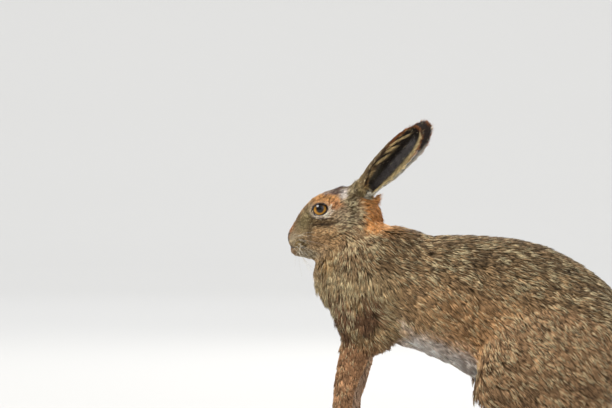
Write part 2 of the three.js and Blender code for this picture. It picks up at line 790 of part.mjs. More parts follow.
function addHead() {
  let head = solidOf(skinMesh(flesh, [-50, -12, 180], [50, 122, 312], CELL.head)).intersect(beyond(HEAD_PLANE));
  for (const side of [LEFT, RIGHT]) {
    const ear = earFrame(side);
    // a flat seat for the ear
    const seatBox = new THREE.BoxGeometry(44, 44, 40);
    seatBox.applyQuaternion(new THREE.Quaternion().setFromUnitVectors(new THREE.Vector3(0, 0, 1), ear.along));
    const lift = ear.root.clone().addScaledVector(ear.along, 20 - GAP / 2);
    head = head.subtract(solidOf(seatBox.translate(lift.x, lift.y, lift.z)));
    head = head.subtract(solidOf(eyeGeometry(side, EYE_RADIUS + GAP))).subtract(eyeOpening(side));
    hare.add(meshOf(`eye_${sideName(side)}`, solidOf(eyeGeometry(side, EYE_RADIUS)), COAT.eye));
    hare.add(meshOf(`ear_${sideName(side)}`, earSolid(side), COAT.ear));
  }
  for (const cut of headGrooves()) head = head.subtract(cut);
  hare.add(meshOf("head", head, COAT.head));
}

function addTrunk() {
  const neckSkin = solidOf(skinMesh(flesh, [-62, 0, 140], [62, 160, 310], CELL.neck));
  hare.add(meshOf("neck", neckSkin.intersect(before(HEAD_PLANE)).intersect(beyond(NECK_PLANE)), COAT.neck));
  let torso = solidOf(skinMesh(flesh, [-100, 0, -20], [100, 430, 270], CELL.torso))
    .intersect(before(NECK_PLANE))
    .intersect(before(TAIL_PLANE))
    .intersect(GROUND);
  for (const side of [LEFT, RIGHT]) {
    torso = torso
      .subtract(thighCutter(side, GAP))
      .subtract(hindFootCutter(side, GAP))
      .subtract(forelegCutter(side, GAP));
  }
  hare.add(meshOf("torso", torso, COAT.body));
  const tailSkin = solidOf(skinMesh(flesh, [-40, 350, -20], [40, 480, 90], CELL.tail));
  hare.add(meshOf("tail", tailSkin.intersect(beyond(TAIL_PLANE)).intersect(GROUND), COAT.tail));
}

function addForeleg(side) {
  const name = sideName(side);
  const [inner, outer] = side === LEFT ? [0.3, 70] : [-70, -0.3];
  const skin = (low, high, cell) => solidOf(skinMesh(flesh, [inner, 20, low], [outer, 150, high], cell));
  const upper = skin(8, 160, CELL.leg)
    .intersect(forelegCutter(side, 0))
    .intersect(halfSpace([0, 0, WRIST_TOP], [0, 0, 1]));
  hare.add(meshOf(`foreleg_${name}`, upper, COAT.leg));
  const foot = skin(-16, 62, CELL.fore)
    .intersect(halfSpace([0, 0, WRIST_TOP], [0, 0, -1]))
    .intersect(GROUND);
  const kept = largest(foot);
  hare.add(meshOf(`forefoot_${name}`, kept, COAT.leg));
  hare.add(...clawsOf(side, "fore", wristOf(side).y - FORE_BALL, FORE_TOES, 1, kept));
}

function addHindLeg(side) {
  const name = sideName(side);
  const [low, high] = side === LEFT ? [0, 110] : [-110, 0];
  const thigh = solidOf(skinMesh(flesh, [low, 170, 5], [high, 400, 190], CELL.thigh))
    .intersect(thighCutter(side, 0))
    .subtract(hindFootCutter(side, GAP));
  hare.add(meshOf(`thigh_${name}`, thigh, COAT.body));
  const foot = solidOf(skinMesh(flesh, [low, 150, -16], [high, 400, 52], CELL.hind))
    .intersect(hindFootCutter(side, 0))
    .intersect(GROUND);
  const kept = largest(foot);
  hare.add(meshOf(`hindfoot_${name}`, kept, COAT.leg));
  hare.add(...clawsOf(side, "hind", HEEL_Y - HIND_BALL, HIND_TOES, HIND_CLAW_SCALE, kept));
}

addHead();
addTrunk();
for (const side of [LEFT, RIGHT]) {
  addForeleg(side);
  addHindLeg(side);
}

// The middle of the animal's box stands over the origin.
const box = new THREE.Box3().setFromObject(hare);
hare.position.set(-(box.min.x + box.max.x) / 2, -(box.min.y + box.max.y) / 2, -box.min.z);

export default hare;
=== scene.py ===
# %% [markdown]
# # A brown hare with its coat on
# The hare sits up and alert, life size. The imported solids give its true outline, out to
# the tips of the hair. This script puts a skin inside them, at the depth of the coat,
# and sets many thousands of small solid tufts of hair on that skin.

import bmesh
import bpy
import numpy as np
from mathutils import Matrix, Vector, kdtree


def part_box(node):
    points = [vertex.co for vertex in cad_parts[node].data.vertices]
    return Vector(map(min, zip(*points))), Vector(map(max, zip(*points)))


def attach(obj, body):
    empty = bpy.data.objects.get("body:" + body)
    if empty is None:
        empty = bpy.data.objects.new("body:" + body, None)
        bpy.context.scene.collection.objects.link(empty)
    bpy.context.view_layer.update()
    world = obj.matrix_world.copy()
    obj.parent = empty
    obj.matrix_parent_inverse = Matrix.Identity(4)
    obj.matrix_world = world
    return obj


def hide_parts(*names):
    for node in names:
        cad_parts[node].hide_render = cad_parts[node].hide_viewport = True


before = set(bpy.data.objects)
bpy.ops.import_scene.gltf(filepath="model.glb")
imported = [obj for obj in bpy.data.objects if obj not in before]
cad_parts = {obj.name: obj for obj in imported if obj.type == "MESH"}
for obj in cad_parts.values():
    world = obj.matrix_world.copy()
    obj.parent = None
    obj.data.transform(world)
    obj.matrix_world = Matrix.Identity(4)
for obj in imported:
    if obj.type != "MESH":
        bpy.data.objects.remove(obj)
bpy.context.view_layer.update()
rng = np.random.default_rng(20)
MM = 0.001
NOSE_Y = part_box("head")[0][1]

# %% [markdown]
# All marks and partings are given in millimetres from the nose: X to the animal's left,
# Y back from the nose, Z up from the floor. Two small helpers turn places into that
# frame and back. A smooth step fades one region of the coat into the next.


# %% Millimetres from the nose
def from_nose(places):
    """Places in metres as millimetres from the nose's tip and the floor."""
    return (np.asarray(places) - (0, NOSE_Y, 0)) / MM


def to_frame(places):
    """Millimetres from the nose back to the frame's metres."""
    return np.asarray(places, dtype=float) * MM + (0, NOSE_Y, 0)


def fade(low, high, value):
    """0 at low, 1 at high, smooth between; low may be the larger one."""
    t = np.clip((value - low) / (high - low), 0, 1)
    return t * t * (3 - 2 * t)


def unit(v):
    """Rows of v at length 1."""
    return v / np.maximum(np.linalg.norm(v, axis=-1, keepdims=True), 1e-9)


def rgb(red, green, blue):
    """A colour as a photo editor shows it, 0 to 255, in the linear values that shaders use."""
    c = np.array([red, green, blue]) / 255
    return np.where(c < 0.04045, c / 12.92, ((c + 0.055) / 1.055) ** 2.4)


# %% New objects
def added(name, data):
    """A new object in the scene that shows the given data."""
    piece = bpy.data.objects.new(name, data)
    bpy.context.collection.objects.link(piece)
    return piece


# %% [markdown]
# ## Camera, floor and light
# The photo is taken from the hare's left side, level with its eye, through a long lens.
# Only the head, the ears and the start of the back are in the picture. The floor is a
# wide pale disc whose rim curves up far away, so that no edge of it shows.

# %% Camera
PHOTO_WIDTH_MM = 685
SENSOR_MM = 36
CAMERA_DISTANCE = 4.0
PHOTO_CENTRE = to_frame((0, 20.2, 269.9))

camera_data = bpy.data.cameras.new("camera")
camera_data.sensor_width = SENSOR_MM
camera_data.lens = SENSOR_MM * CAMERA_DISTANCE / (PHOTO_WIDTH_MM * MM)
camera = added("camera", camera_data)
camera.location = (CAMERA_DISTANCE, PHOTO_CENTRE[1], PHOTO_CENTRE[2])
camera.rotation_euler = (np.pi / 2, 0, np.pi / 2)
bpy.context.scene.camera = camera
print("lens", round(camera_data.lens, 1), "mm, height", round(camera.location.z, 3))


# %% Meshes from arrays
def mesh_object(name, places, faces):
    """An object from arrays of places and of triangles or quads, shaded smooth."""
    mesh = bpy.data.meshes.new(name)
    corners = faces.shape[1]
    mesh.vertices.add(len(places))
    mesh.vertices.foreach_set("co", np.asarray(places, dtype=np.float32).ravel())
    mesh.loops.add(faces.size)
    mesh.loops.foreach_set("vertex_index", faces.astype(np.int32).ravel())
    mesh.polygons.add(len(faces))
    mesh.polygons.foreach_set("loop_start", np.arange(0, faces.size, corners, dtype=np.int32))
    mesh.update(calc_edges=True)
    mesh.shade_smooth()
    return added(name, mesh)


# %% Nodes and materials
MIX_FACTOR, MIX_A, MIX_B, MIX_RESULT = 0, 6, 7, 2


def new_node(tree, kind, inputs=(), **settings):
    """A node of a tree with its settings, and with (socket, value) pairs for its inputs."""
    node = tree.nodes.new(kind)
    for key, value in settings.items():
        setattr(node, key, value)
    for socket, value in inputs:
        node.inputs[socket].default_value = value
    return node


def wire(tree, *wires):
    """Joins sockets of a tree; each wire is (node, output, node, input)."""
    for source, output, target, socket in wires:
        tree.links.new(source.outputs[output], target.inputs[socket])


def new_group(name, kind, sockets):
    """A tree with (label, direction, type) sockets, and its nodes for what goes in and out."""
    tree = bpy.data.node_groups.new(name, kind)
    for label, in_out, value in sockets:
        tree.interface.new_socket(label, in_out=in_out, socket_type="NodeSocket" + value)
    return tree, new_node(tree, "NodeGroupInput"), new_node(tree, "NodeGroupOutput")


def new_material(name, **inputs):
    """A material, its tree and its shader, with values for the shader's inputs."""
    material = bpy.data.materials.new(name)
    material.use_nodes = True
    shader = material.node_tree.nodes["Principled BSDF"]
    for socket, value in inputs.items():
        shader.inputs[socket.replace("_", " ")].default_value = value
    return material, material.node_tree, shader


def two_colours(tree, shader, place, scale, dark, light, detail=2):
    """Noise in a tree, and the shader's mix of two colours, which the caller joins to it."""
    noise = new_node(tree, "ShaderNodeTexNoise", [("Scale", scale), ("Detail", detail)])
    colours = [(MIX_A, (*dark, 1)), (MIX_B, (*light, 1))]
    mix = new_node(tree, "ShaderNodeMix", data_type="RGBA", inputs=colours)
    wire(tree, (place, "Object", noise, "Vector"), (mix, MIX_RESULT, shader, "Base Color"))
    return noise, mix


# %% Floor
def plain_material(name, colour, roughness):
    """A matt material of one colour with a faint cloudiness."""
    material, tree, shader = new_material(name, Roughness=roughness)
    place = new_node(tree, "ShaderNodeTexCoord")
    noise, mix = two_colours(tree, shader, place, 3, 0.9 * np.array(colour), colour)
    narrow = new_node(tree, "ShaderNodeMapRange", [("To Min", 0.97)])
    wire(tree, (noise, "Fac", narrow, "Value"), (narrow, "Result", mix, MIX_FACTOR))
    return material


def floor_disc(radius=7.0, rise=3.5, spokes=96, steps=8):
    """A flat disc in metres whose rim curves up."""
    rings = [(radius * 0.5, 0), (radius, 0)]
    for step in range(1, steps + 1):
        angle = np.pi / 2 * step / steps
        rings.append((radius + rise * np.sin(angle), rise * (1 - np.cos(angle))))
    turn = np.linspace(0, 2 * np.pi, spokes, endpoint=False)
    places = [(r * np.cos(a), r * np.sin(a), z) for r, z in rings for a in turn]
    faces = []
    for ring in range(len(rings) - 1):
        for spoke in range(spokes):
            a, b = ring * spokes + spoke, ring * spokes + (spoke + 1) % spokes
            faces.append((a, a + spokes, b + spokes, b))
    middle = len(places)
    places.append((0, 0, 0))
    for spoke in range(0, spokes, 2):
        faces.append((middle, spoke, spoke + 1, (spoke + 2) % spokes))
    return mesh_object("floor", np.array(places), np.array(faces))


FLOOR_COLOUR = (0.54, 0.53, 0.51)
floor = floor_disc()
floor.data.materials.append(plain_material("floor_paint", FLOOR_COLOUR, 0.8))


# %% Lights
def soft_light(name, place, target, size, power, colour):
    """A square soft box at a place, turned to its target; size in metres, power in watts."""
    data = bpy.data.lights.new(name, "AREA")
    data.size = size
    data.energy = power
    data.color = colour
    light = added(name, data)
    light.location = place
    light.rotation_euler = (Vector(target) - Vector(place)).to_track_quat("-Z", "Y").to_euler()


SUBJECT = (0, -0.1, 0.22)
FAR_FLOOR = (-7, 0, 0)
SKY_COLOUR = (0.93, 0.96, 1, 1)
SKY_STRENGTH = 0.62
soft_light("key", (1.7, -1.3, 2.0), SUBJECT, 1.1, 66, (1, 0.98, 0.94))
soft_light("fill", (2.2, 1.9, 1.2), SUBJECT, 2.2, 20, (0.95, 0.97, 1))
soft_light("back", (-2.2, 0.9, 1.8), SUBJECT, 1.5, 30, (1, 0.98, 0.95))
soft_light("ceiling", (-5, 0, 6), FAR_FLOOR, 9, 560, (0.97, 0.98, 1))

world = bpy.data.worlds.new("world")
bpy.context.scene.world = world
world.use_nodes = True
sky = world.node_tree.nodes["Background"]
sky.inputs["Color"].default_value = SKY_COLOUR
sky.inputs["Strength"].default_value = SKY_STRENGTH
bpy.context.scene.view_settings.view_transform = "Standard"

# %% [markdown]
# ## Regions of the coat
# Hair is not the same all over a hare. It is two or three millimetres long on the muzzle
# and about two centimetres on the back. Each region below has its own length and lie, and
# the regions fade into each other where the head meets the neck, and so on.

# %% Regions
HEAD_PLANE = ((0, 66, 243), (0, -80, 67))
NECK_PLANE = ((0, 75, 212), (0, -68, 85))
TAIL_PLANE = ((0, 384, 42), (0, 0.86, -0.5))
THIGH_CENTRE = np.array([64, 286, 88])
THIGH_RADII = np.array([42, 84, 70])
EYE = np.array([15.6, 35.5, 264])
EYE_RADIUS = 10
NOSE_TIP = np.array([0, -3, 234])

# depth of the coat, length and width of its tufts in mm, tufts on each square mm,
# and the way the hair lies
REGION_KEYS = ("depth", "length", "width", "density", "lie")
REGIONS = {
    "head": (2.6, 7.0, 0.87, 1.25, (0, 1, 0)),
    "neck": (6.0, 17, 1.5, 0.72, (0, 0.4, -0.9)),
    "torso": (6.5, 19, 1.95, 0.44, (0, 0.95, -0.3)),
    "thigh": (5.5, 16, 1.85, 0.47, (0, 0.7, -0.7)),
    "foreleg": (2.4, 9, 1.25, 0.64, (0, 0.12, -1)),
    "forefoot": (1.4, 4.6, 0.9, 1.05, (0, -1, -0.3)),
    "hindfoot": (1.6, 5.8, 1.0, 0.76, (0, -1, -0.12)),
    "tail": (5.0, 17, 1.6, 0.7, (0, 0.85, -0.5)),
}
REGIONS = {name: dict(zip(REGION_KEYS, values)) for name, values in REGIONS.items()}


def ahead_of(plane, p):
    """How far places lie beyond a plane, in mm, on the side its normal points to."""
    at, normal = (np.array(v, dtype=float) for v in plane)
    return (p - at) @ (normal / np.linalg.norm(normal))


def region_weights(p):
    """How much each region counts at places in mm from the nose; the rows add up to 1."""
    x, y, z = np.abs(p[:, 0]), p[:, 1], p[:, 2]
    head = fade(-9, 7, ahead_of(HEAD_PLANE, p))
    neck = fade(-14, 8, ahead_of(NECK_PLANE, p)) * (1 - head)
    tail = fade(-5, 9, ahead_of(TAIL_PLANE, p))
    fore = fade(134, 100, z) * fade(132, 112, y)
    paw = fade(34, 16, z)
    hind = fade(38, 24, z) * fade(172, 200, y) * fade(20, 28, x) * (1 - tail)
    mirrored = np.column_stack([x, y, z])
    shell = np.linalg.norm((mirrored - THIGH_CENTRE) / THIGH_RADII, axis=1)
    thigh = fade(1.1, 0.92, shell) * (1 - hind)
    parts = {
        "head": head,
        "neck": neck,
        "tail": tail,
        "foreleg": fore * (1 - paw),
        "forefoot": fore * paw,
        "hindfoot": hind,
        "thigh": thigh * (1 - tail) * (1 - fore),
    }
    taken = sum(parts.values())
    parts["torso"] = np.maximum(0, 1 - taken)
    total = sum(parts.values())
    return {name: weight / total for name, weight in parts.items()}


def blended(weights, key):
    """A region value, mixed by the weights."""
    return sum(weights[name][..., None] * np.atleast_1d(REGIONS[name][key]) for name in REGIONS).squeeze()


# %% [markdown]
# The muzzle and the rims of the eyes have the shortest hair of all. The shares below say
# how far a place on the head is from either, and shorten the coat there.


# %% Masks in side view
def spot(p, centre, radii, soft=0.5):
    """1 inside an oval in side view (Y, Z), fading out across its edge."""
    d = np.hypot((p[:, 1] - centre[0]) / radii[0], (p[:, 2] - centre[1]) / radii[1])
    return fade(1 + soft, 1 - soft, d)


def line_spot(p, start, end, half_width):
    """1 along a line in side view, fading out to its sides."""
    a, b = np.array(start, dtype=float), np.array(end, dtype=float)
    way = b - a
    t = np.clip(((p[:, 1:] - a) @ way) / (way @ way), 0, 1)
    d = np.linalg.norm(p[:, 1:] - a - t[:, None] * way, axis=1)
    return fade(1.6 * half_width, 0.4 * half_width, d)


# %% Short hair on the face
EYE_TILT = 0.22
EYE_HALF_LENGTH = 9
EYE_HALF_HEIGHT = 6.7


def eye_distance(p):
    """1 on the rim of the eye's opening, less inside it, in side view."""
    y, z = p[:, 1] - EYE[1], p[:, 2] - EYE[2]
    along = y * np.cos(EYE_TILT) + z * np.sin(EYE_TILT)
    up = z * np.cos(EYE_TILT) - y * np.sin(EYE_TILT)
    return np.hypot(along / EYE_HALF_LENGTH, up / EYE_HALF_HEIGHT)


def face_share(p):
    """0 on the muzzle and at the eye, 1 where the head's hair is full length."""
    from_muzzle = fade(8, 75, np.linalg.norm(p - NOSE_TIP, axis=1))
    from_eye = fade(1.0, 2.2, eye_distance(p))
    return np.minimum(0.28 + 0.72 * from_muzzle, 0.4 + 0.6 * from_eye)


def coat_depth(p, weights):
    """Depth of the coat in mm at places on the outline."""
    share = 1 - weights["head"] * (1 - face_share(p))
    near_eye = weights["head"] * fade(2.0, 1.0, eye_distance(p))
    return blended(weights, "depth") * share * (1 - 0.75 * near_eye)


# %% [markdown]
# ## The skin
# On the real animal one skin covers everything, so the separate solids are fused here:
# copies of them are swollen by a third of a millimetre to close the thin gaps, joined,
# and remeshed as one volume. The result is smoothed and drawn inwards by the depth of
# the coat.

# %% Flesh nodes in one mesh
FLESH = ["head", "neck", "torso", "tail"] + [
    f"{part}_{side}" for part in ("foreleg", "forefoot", "thigh", "hindfoot") for side in ("left", "right")
]
EARS = ["ear_left", "ear_right"]
BODY_VOXEL = 1.9 * MM
EAR_VOXEL = 0.85 * MM
SWELL = 0.35 * MM
EAR_SWELL = 0.05 * MM
OVER_FLOOR = 0.4 * MM


def merged_copy(node, swell):
    """A node's places and triangles with shared corners merged, moved out by swell."""
    bm = bmesh.new()
    bm.from_mesh(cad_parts[node].data)
    bmesh.ops.remove_doubles(bm, verts=bm.verts, dist=1e-6)
    bmesh.ops.triangulate(bm, faces=bm.faces)
    bm.normal_update()
    places = np.array([v.co + v.normal * swell for v in bm.verts])
    faces = np.array([[v.index for v in f.verts] for f in bm.faces])
    bm.free()
    return places, faces


def joined(parts):
    """Several (places, faces) pairs as one."""
    offsets = np.cumsum([0] + [len(places) for places, _ in parts[:-1]])
    faces = np.vstack([f + offset for (_, f), offset in zip(parts, offsets)])
    return np.vstack([places for places, _ in parts]), faces


def remeshed(name, places, faces, voxel):
    """One closed surface of even quads round all the given bodies."""
    piece = mesh_object(name, places, faces)
    remesh = piece.modifiers.new("remesh", "REMESH")
    remesh.mode = "VOXEL"
    remesh.voxel_size = voxel
    result = piece.evaluated_get(bpy.context.evaluated_depsgraph_get()).to_mesh()
    out = np.empty(len(result.vertices) * 3)
    result.vertices.foreach_get("co", out)
    corners = np.empty(len(result.loops), dtype=np.int32)
    result.loops.foreach_get("vertex_index", corners)
    quads = corners.reshape(-1, 4)
    bpy.data.objects.remove(piece)
    return out.reshape(-1, 3), quads


def edges_of(quads):
    """Each edge once, as pairs of corners."""
    pairs = np.vstack([quads[:, [0, 1]], quads[:, [1, 2]], quads[:, [2, 3]], quads[:, [3, 0]]])
    return np.unique(np.sort(pairs, axis=1), axis=0)


PUSH_IN, PUSH_OUT = 0.55, -0.57
BODY_ROUNDS, EAR_ROUNDS, SKIN_ROUNDS = 14, 4, 3


def smoothed(places, edges, rounds, strength):
    """Rounds of smoothing that don't shrink the form; strength has one value a place."""
    count = np.bincount(edges.ravel(), minlength=len(places))[:, None]
    for step in range(2 * rounds):
        push = PUSH_OUT if step % 2 else PUSH_IN
        total = np.zeros_like(places)
        np.add.at(total, edges[:, 0], places[edges[:, 1]])
        np.add.at(total, edges[:, 1], places[edges[:, 0]])
        places = places + push * strength[:, None] * (total / np.maximum(count, 1) - places)
    return places


def normals_of(places, quads):
    """Unit normals at the places."""
    diagonal = np.cross(places[quads[:, 2]] - places[quads[:, 0]], places[quads[:, 3]] - places[quads[:, 1]])
    total = np.zeros_like(places)
    for corner in range(4):
        np.add.at(total, quads[:, corner], diagonal)
    return unit(total)


body_places, body_quads = remeshed("flesh", *joined([merged_copy(n, SWELL) for n in FLESH]), BODY_VOXEL)
body_edges = edges_of(body_quads)
body_weights = region_weights(from_nose(body_places))
fine_parts = body_weights["head"] + body_weights["forefoot"] + body_weights["hindfoot"]
body_places = smoothed(body_places, body_edges, BODY_ROUNDS, 1 - 0.75 * fine_parts)
print("skin of", len(body_quads), "quads")

# %% Ears
ear_parts = {n: remeshed(n, *merged_copy(n, EAR_SWELL), EAR_VOXEL) for n in EARS}
for node, (places, quads) in ear_parts.items():
    ear_parts[node] = (smoothed(places, edges_of(quads), EAR_ROUNDS, np.ones(len(places))), quads)
    print(node, len(quads), "quads")

# %% Folds of the face
LID_RIDGE = 0.9
CREASE_DEPTH = 0.4
MOUTH_DEPTH = 0.9
CREASES = (((25, 254), (47, 252.5)), ((27, 246), (46, 247)), ((25, 252), (23, 230)))
MOUTH = (((3, 222.6), (7, 221.4)), ((7, 221.4), (14, 221)), ((14, 221), (21, 222.5)))


def face_folds(p):
    """How far the skin of the face stands out, in mm: ridges of the lids, creases, the mouth."""
    side = fade(4, 10, np.abs(p[:, 0]))
    ridge = LID_RIDGE * np.exp(-(((eye_distance(p) - 1.24) / 0.1) ** 2)) * side
    creases = sum(line_spot(p, start, end, 1.1) for start, end in CREASES) * side
    mouth = sum(line_spot(p, start, end, 0.8) for start, end in MOUTH)
    return ridge - CREASE_DEPTH * np.minimum(creases, 1) - MOUTH_DEPTH * np.minimum(mouth, 1)


# %% Skin under the coat
body_mm = from_nose(body_places)
body_weights = region_weights(body_mm)
body_normals = normals_of(body_places, body_quads)
body_skin = body_places - body_normals * coat_depth(body_mm, body_weights)[:, None] * MM
body_skin[:, 2] = np.maximum(body_skin[:, 2], OVER_FLOOR)
body_skin = smoothed(body_skin, body_edges, SKIN_ROUNDS, 1 - 0.8 * fine_parts)
body_skin += body_normals * (face_folds(body_mm) * body_weights["head"])[:, None] * MM

# %% [markdown]
# ## Colours of the coat
# A brown hare's hair is banded. Each hair is grey at its root, then black, then tawny,
# and its tip is black or cream, so that from a step away the coat looks grizzled. For
# each place the functions below give the tawny of the band, and the shares of tufts
# with cream and with black tips.

# %% Palette and patterns
CREAM = rgb(232, 216, 172)
WHITE = rgb(238, 236, 208)
ORANGE = rgb(220, 170, 98)
RUFOUS = rgb(186, 122, 62)
NAPE = rgb(212, 156, 84)
DARK_BROWN = rgb(70, 54, 34)
BLACK = rgb(26, 21, 18)
TINT = np.array([1.03, 0.95, 1.16])


def waves(p, scale, seed):
    """A smooth random pattern from -1 to 1 whose patches are about `scale` mm across."""
    draw = np.random.default_rng(seed)
    total = np.zeros(len(p))
    for _ in range(6):
        way = unit(draw.normal(size=3))
        total += np.sin(p @ way * (2 * np.pi / scale) * draw.uniform(0.6, 1.5) + draw.uniform(0, 6.28))
    return total / 3.2


def painted(base, layers):
    """One base colour, or one a place, with (mask, colour) layers over it."""
    out = np.tile(base, (len(layers[0][0]), 1)) if np.ndim(base) == 1 else base
    for mask, colour in layers:
        out = out + mask[:, None] * (colour - out)
    return out


# %% Head marks
def nape_mask(p):
    """The orange nape: a wide band from behind the ears down to the shoulders."""
    y, z = p[:, 1], p[:, 2]
    start = 83 - 0.12 * (z - 240)
    return fade(start - 5, start + 3, y) * fade(232, 244, z) * fade(288, 276, z)


def ring_mask(p):
    """The cream ring: thin before and above the eye, wider below and behind it."""
    below = fade(0, -5, p[:, 2] - EYE[2])
    behind = fade(1, 8, p[:, 1] - EYE[1])
    limit = 1.22 + 0.36 * below + 0.16 * behind * fade(6, 0, p[:, 2] - EYE[2])
    before = fade(-5, -10, p[:, 1] - EYE[1])
    return fade(0.12, -0.12, eye_distance(p) - limit) * (1 - 0.7 * before)


def broad_tones(p):
    """Layers of the bridge of the nose, the cheek and the jaw."""
    x, y = np.abs(p[:, 0]), p[:, 1]
    return [
        (spot(p, (20, 250), (13, 13), 0.7), rgb(168, 154, 100)),
        (fade(9, 3, x) * fade(45, 15, y) * 0.7, rgb(158, 126, 82)),
        (0.75 * fade(8, 3, x) * spot(p, (1.5, 241), (6, 6), 0.8), RUFOUS),
        (0.8 * spot(p, (62, 252), (14, 13), 0.7), rgb(176, 158, 116)),
        (0.85 * spot(p, (48, 233), (22, 11), 0.7), rgb(192, 158, 100)),
        (0.75 * spot(p, (30, 236), (9, 12), 0.7), rgb(178, 146, 92)),
    ]


def crown_and_brow(p, side, crown):
    """Layers of the dark crown, the orange brow and the lines below the ear."""
    return [
        (0.85 * crown, rgb(128, 102, 86)),
        (side * spot(p, (39.5, 274.5), (14, 8), 0.45), ORANGE),
        (side * 0.9 * spot(p, (51, 267), (7, 5), 0.5), rgb(214, 160, 100)),
        (0.7 * line_spot(p, (66, 286), (70, 262), 5), rgb(140, 128, 84)),
        (0.7 * line_spot(p, (72, 280), (66, 244), 2.2), rgb(92, 76, 48)),
    ]


def lips_and_chin(p):
    """Layers of the pale lip, the freckled whisker pad and the chin."""
    freckles = fade(0.1, 0.5, waves(p, 5, 9))
    lip = spot(p, (5.5, 230), (4.5, 6.5), 0.9) * fade(1.5, 4, np.abs(p[:, 0]))
    return [
        (0.8 * lip, rgb(196, 186, 142)),
        (0.85 * spot(p, (13, 224.5), (7, 6), 0.7), rgb(142, 122, 64)),
        (0.75 * freckles * spot(p, (14, 225), (8, 7)), DARK_BROWN),
        (0.7 * spot(p, (20, 214), (12, 5)), rgb(168, 162, 122)),
    ]


def folds_and_nape(p, side, creases):
    """Layers of the folds before and below the eye, darkened as painted shade, of the patches behind it and
    of the nape.
    """
    return [
        # painted shade: the crease between muzzle and cheek, the fold under the eye and its creases are
        # darkened
        (side * 0.5 * line_spot(p, (25, 252), (23, 228), 2.6), rgb(96, 80, 50)),
        (side * 0.85 * spot(p, (38, 249), (14, 5), 0.5), rgb(104, 84, 50)),
        (side * 0.85 * creases, rgb(58, 45, 28)),
        (side * 0.95 * spot(p, (44, 281), (13, 4.5), 0.4), rgb(118, 98, 82)),
        (0.95 * nape_mask(p), NAPE),
        (side * 0.9 * spot(p, (58, 279), (5, 6), 0.5), rgb(228, 224, 196)),
    ]


def eye_surround(p, side):
    """Layers of the ring round the eye, cream below and orange above, and of the dark lids."""
    ring = side * ring_mask(p)
    above = fade(2, 6, p[:, 2] - EYE[2])
    return [
        (ring * (1 - above), rgb(240, 226, 184)),
        (ring * above, rgb(232, 186, 124)),
        (side * fade(1.16, 1.04, eye_distance(p)), BLACK),
    ]


def head_colour(p):
    """The band colour on the head, with cream and black shares."""
    x, y = np.abs(p[:, 0]), p[:, 1]
    side = fade(4, 10, x)
    crown = fade(12, 5, x) * fade(30, 44, y)
    # the creases below the eye, which get painted shade and no cream or black tips
    creases = np.maximum(line_spot(p, (25, 254), (47, 252.5), 1.3), line_spot(p, (27, 246), (46, 247), 1.2))
    layers = broad_tones(p) + crown_and_brow(p, side, crown) + lips_and_chin(p)
    layers += folds_and_nape(p, side, creases) + eye_surround(p, side)
    off_nape = 1 - nape_mask(p)
    speckle = fade(34, 62, y) * fade(1.8, 2.8, eye_distance(p)) * off_nape
    cream = 0.06 + 0.34 * speckle
    black = 0.06 + 0.2 * speckle + 0.3 * crown * off_nape
    ring = side * ring_mask(p)
    plain = ring + spot(p, (39.5, 274.5), (15, 8)) + spot(p, (58, 279), (5, 6)) + creases
    keep = 1 - np.clip(side * plain, 0, 1)
    return painted(rgb(182, 160, 112), layers), cream * keep, black * keep


# %% Neck and throat
def neck_colour(p):
    """The band colour on the neck, with cream and black shares."""
    x, y, z = np.abs(p[:, 0]), p[:, 1], p[:, 2]
    nape = nape_mask(p)
    throat = fade(62, 42, y) * fade(194, 210, z)
    chest = fade(220, 200, z) * fade(104, 84, y)
    rear_edge = fade(98, 103, y) * fade(238, 248, z)
    tone = painted(rgb(176, 148, 98), [
        (0.6 * chest, rgb(204, 184, 128)),
        (0.75 * throat, rgb(192, 156, 88)),
        (0.95 * nape, NAPE),
        (0.8 * rear_edge, rgb(236, 206, 150)),
        (0.9 * fade(12, 4, x) * fade(40, 30, y) * fade(206, 192, z), rgb(216, 198, 152)),
    ])
    speckle = 1 - np.clip(nape + 0.6 * throat, 0, 1)
    return tone, 0.1 + 0.4 * speckle, 0.04 + 0.22 * speckle


# %% Body, legs and tail
def torso_colour(p, n):
    """The band colour on the trunk: grizzled above, tawny on the flank, white below, with painted shade on
    the low chest.
    """
    y, z = p[:, 1], p[:, 2]
    up = n[:, 2]
    back = fade(0.0, 0.75, up)
    flank = fade(0.35, -0.2, up) * fade(0.3, 0.8, np.abs(n[:, 0]))
    hump = fade(152, 120, y) * fade(226, 240, z)
    chest = fade(128, 92, y) * fade(208, 190, z)
    low_chest_shade = fade(112, 88, y) * fade(188, 166, z)
    belly = fade(-0.35, -0.75, up) * fade(100, 130, y)
    rump = fade(330, 370, y)
    tone = painted(rgb(172, 144, 94), [
        (0.6 * back, rgb(152, 130, 84)),
        (0.7 * flank * fade(130, 180, y), rgb(196, 156, 98)),
        (0.8 * hump, rgb(150, 118, 68)),
        (0.8 * chest, rgb(206, 184, 126)),
        # painted shade between the forelegs and under the chest: the low chest darker, with darker blotches
        (0.8 * low_chest_shade, rgb(140, 114, 68)),
        (0.8 * low_chest_shade * fade(0.4, -0.3, waves(p, 34, 5)), rgb(112, 82, 54)),
        (0.55 * rump, rgb(158, 142, 106)),
        (0.95 * belly, WHITE),
    ])
    calm = 1 - 0.8 * belly - 0.4 * flank
    cream = (0.3 + 0.25 * chest - 0.14 * hump) * calm
    black = (0.28 + 0.16 * back - 0.12 * chest) * calm
    return tone, cream, np.clip(black, 0, 1)


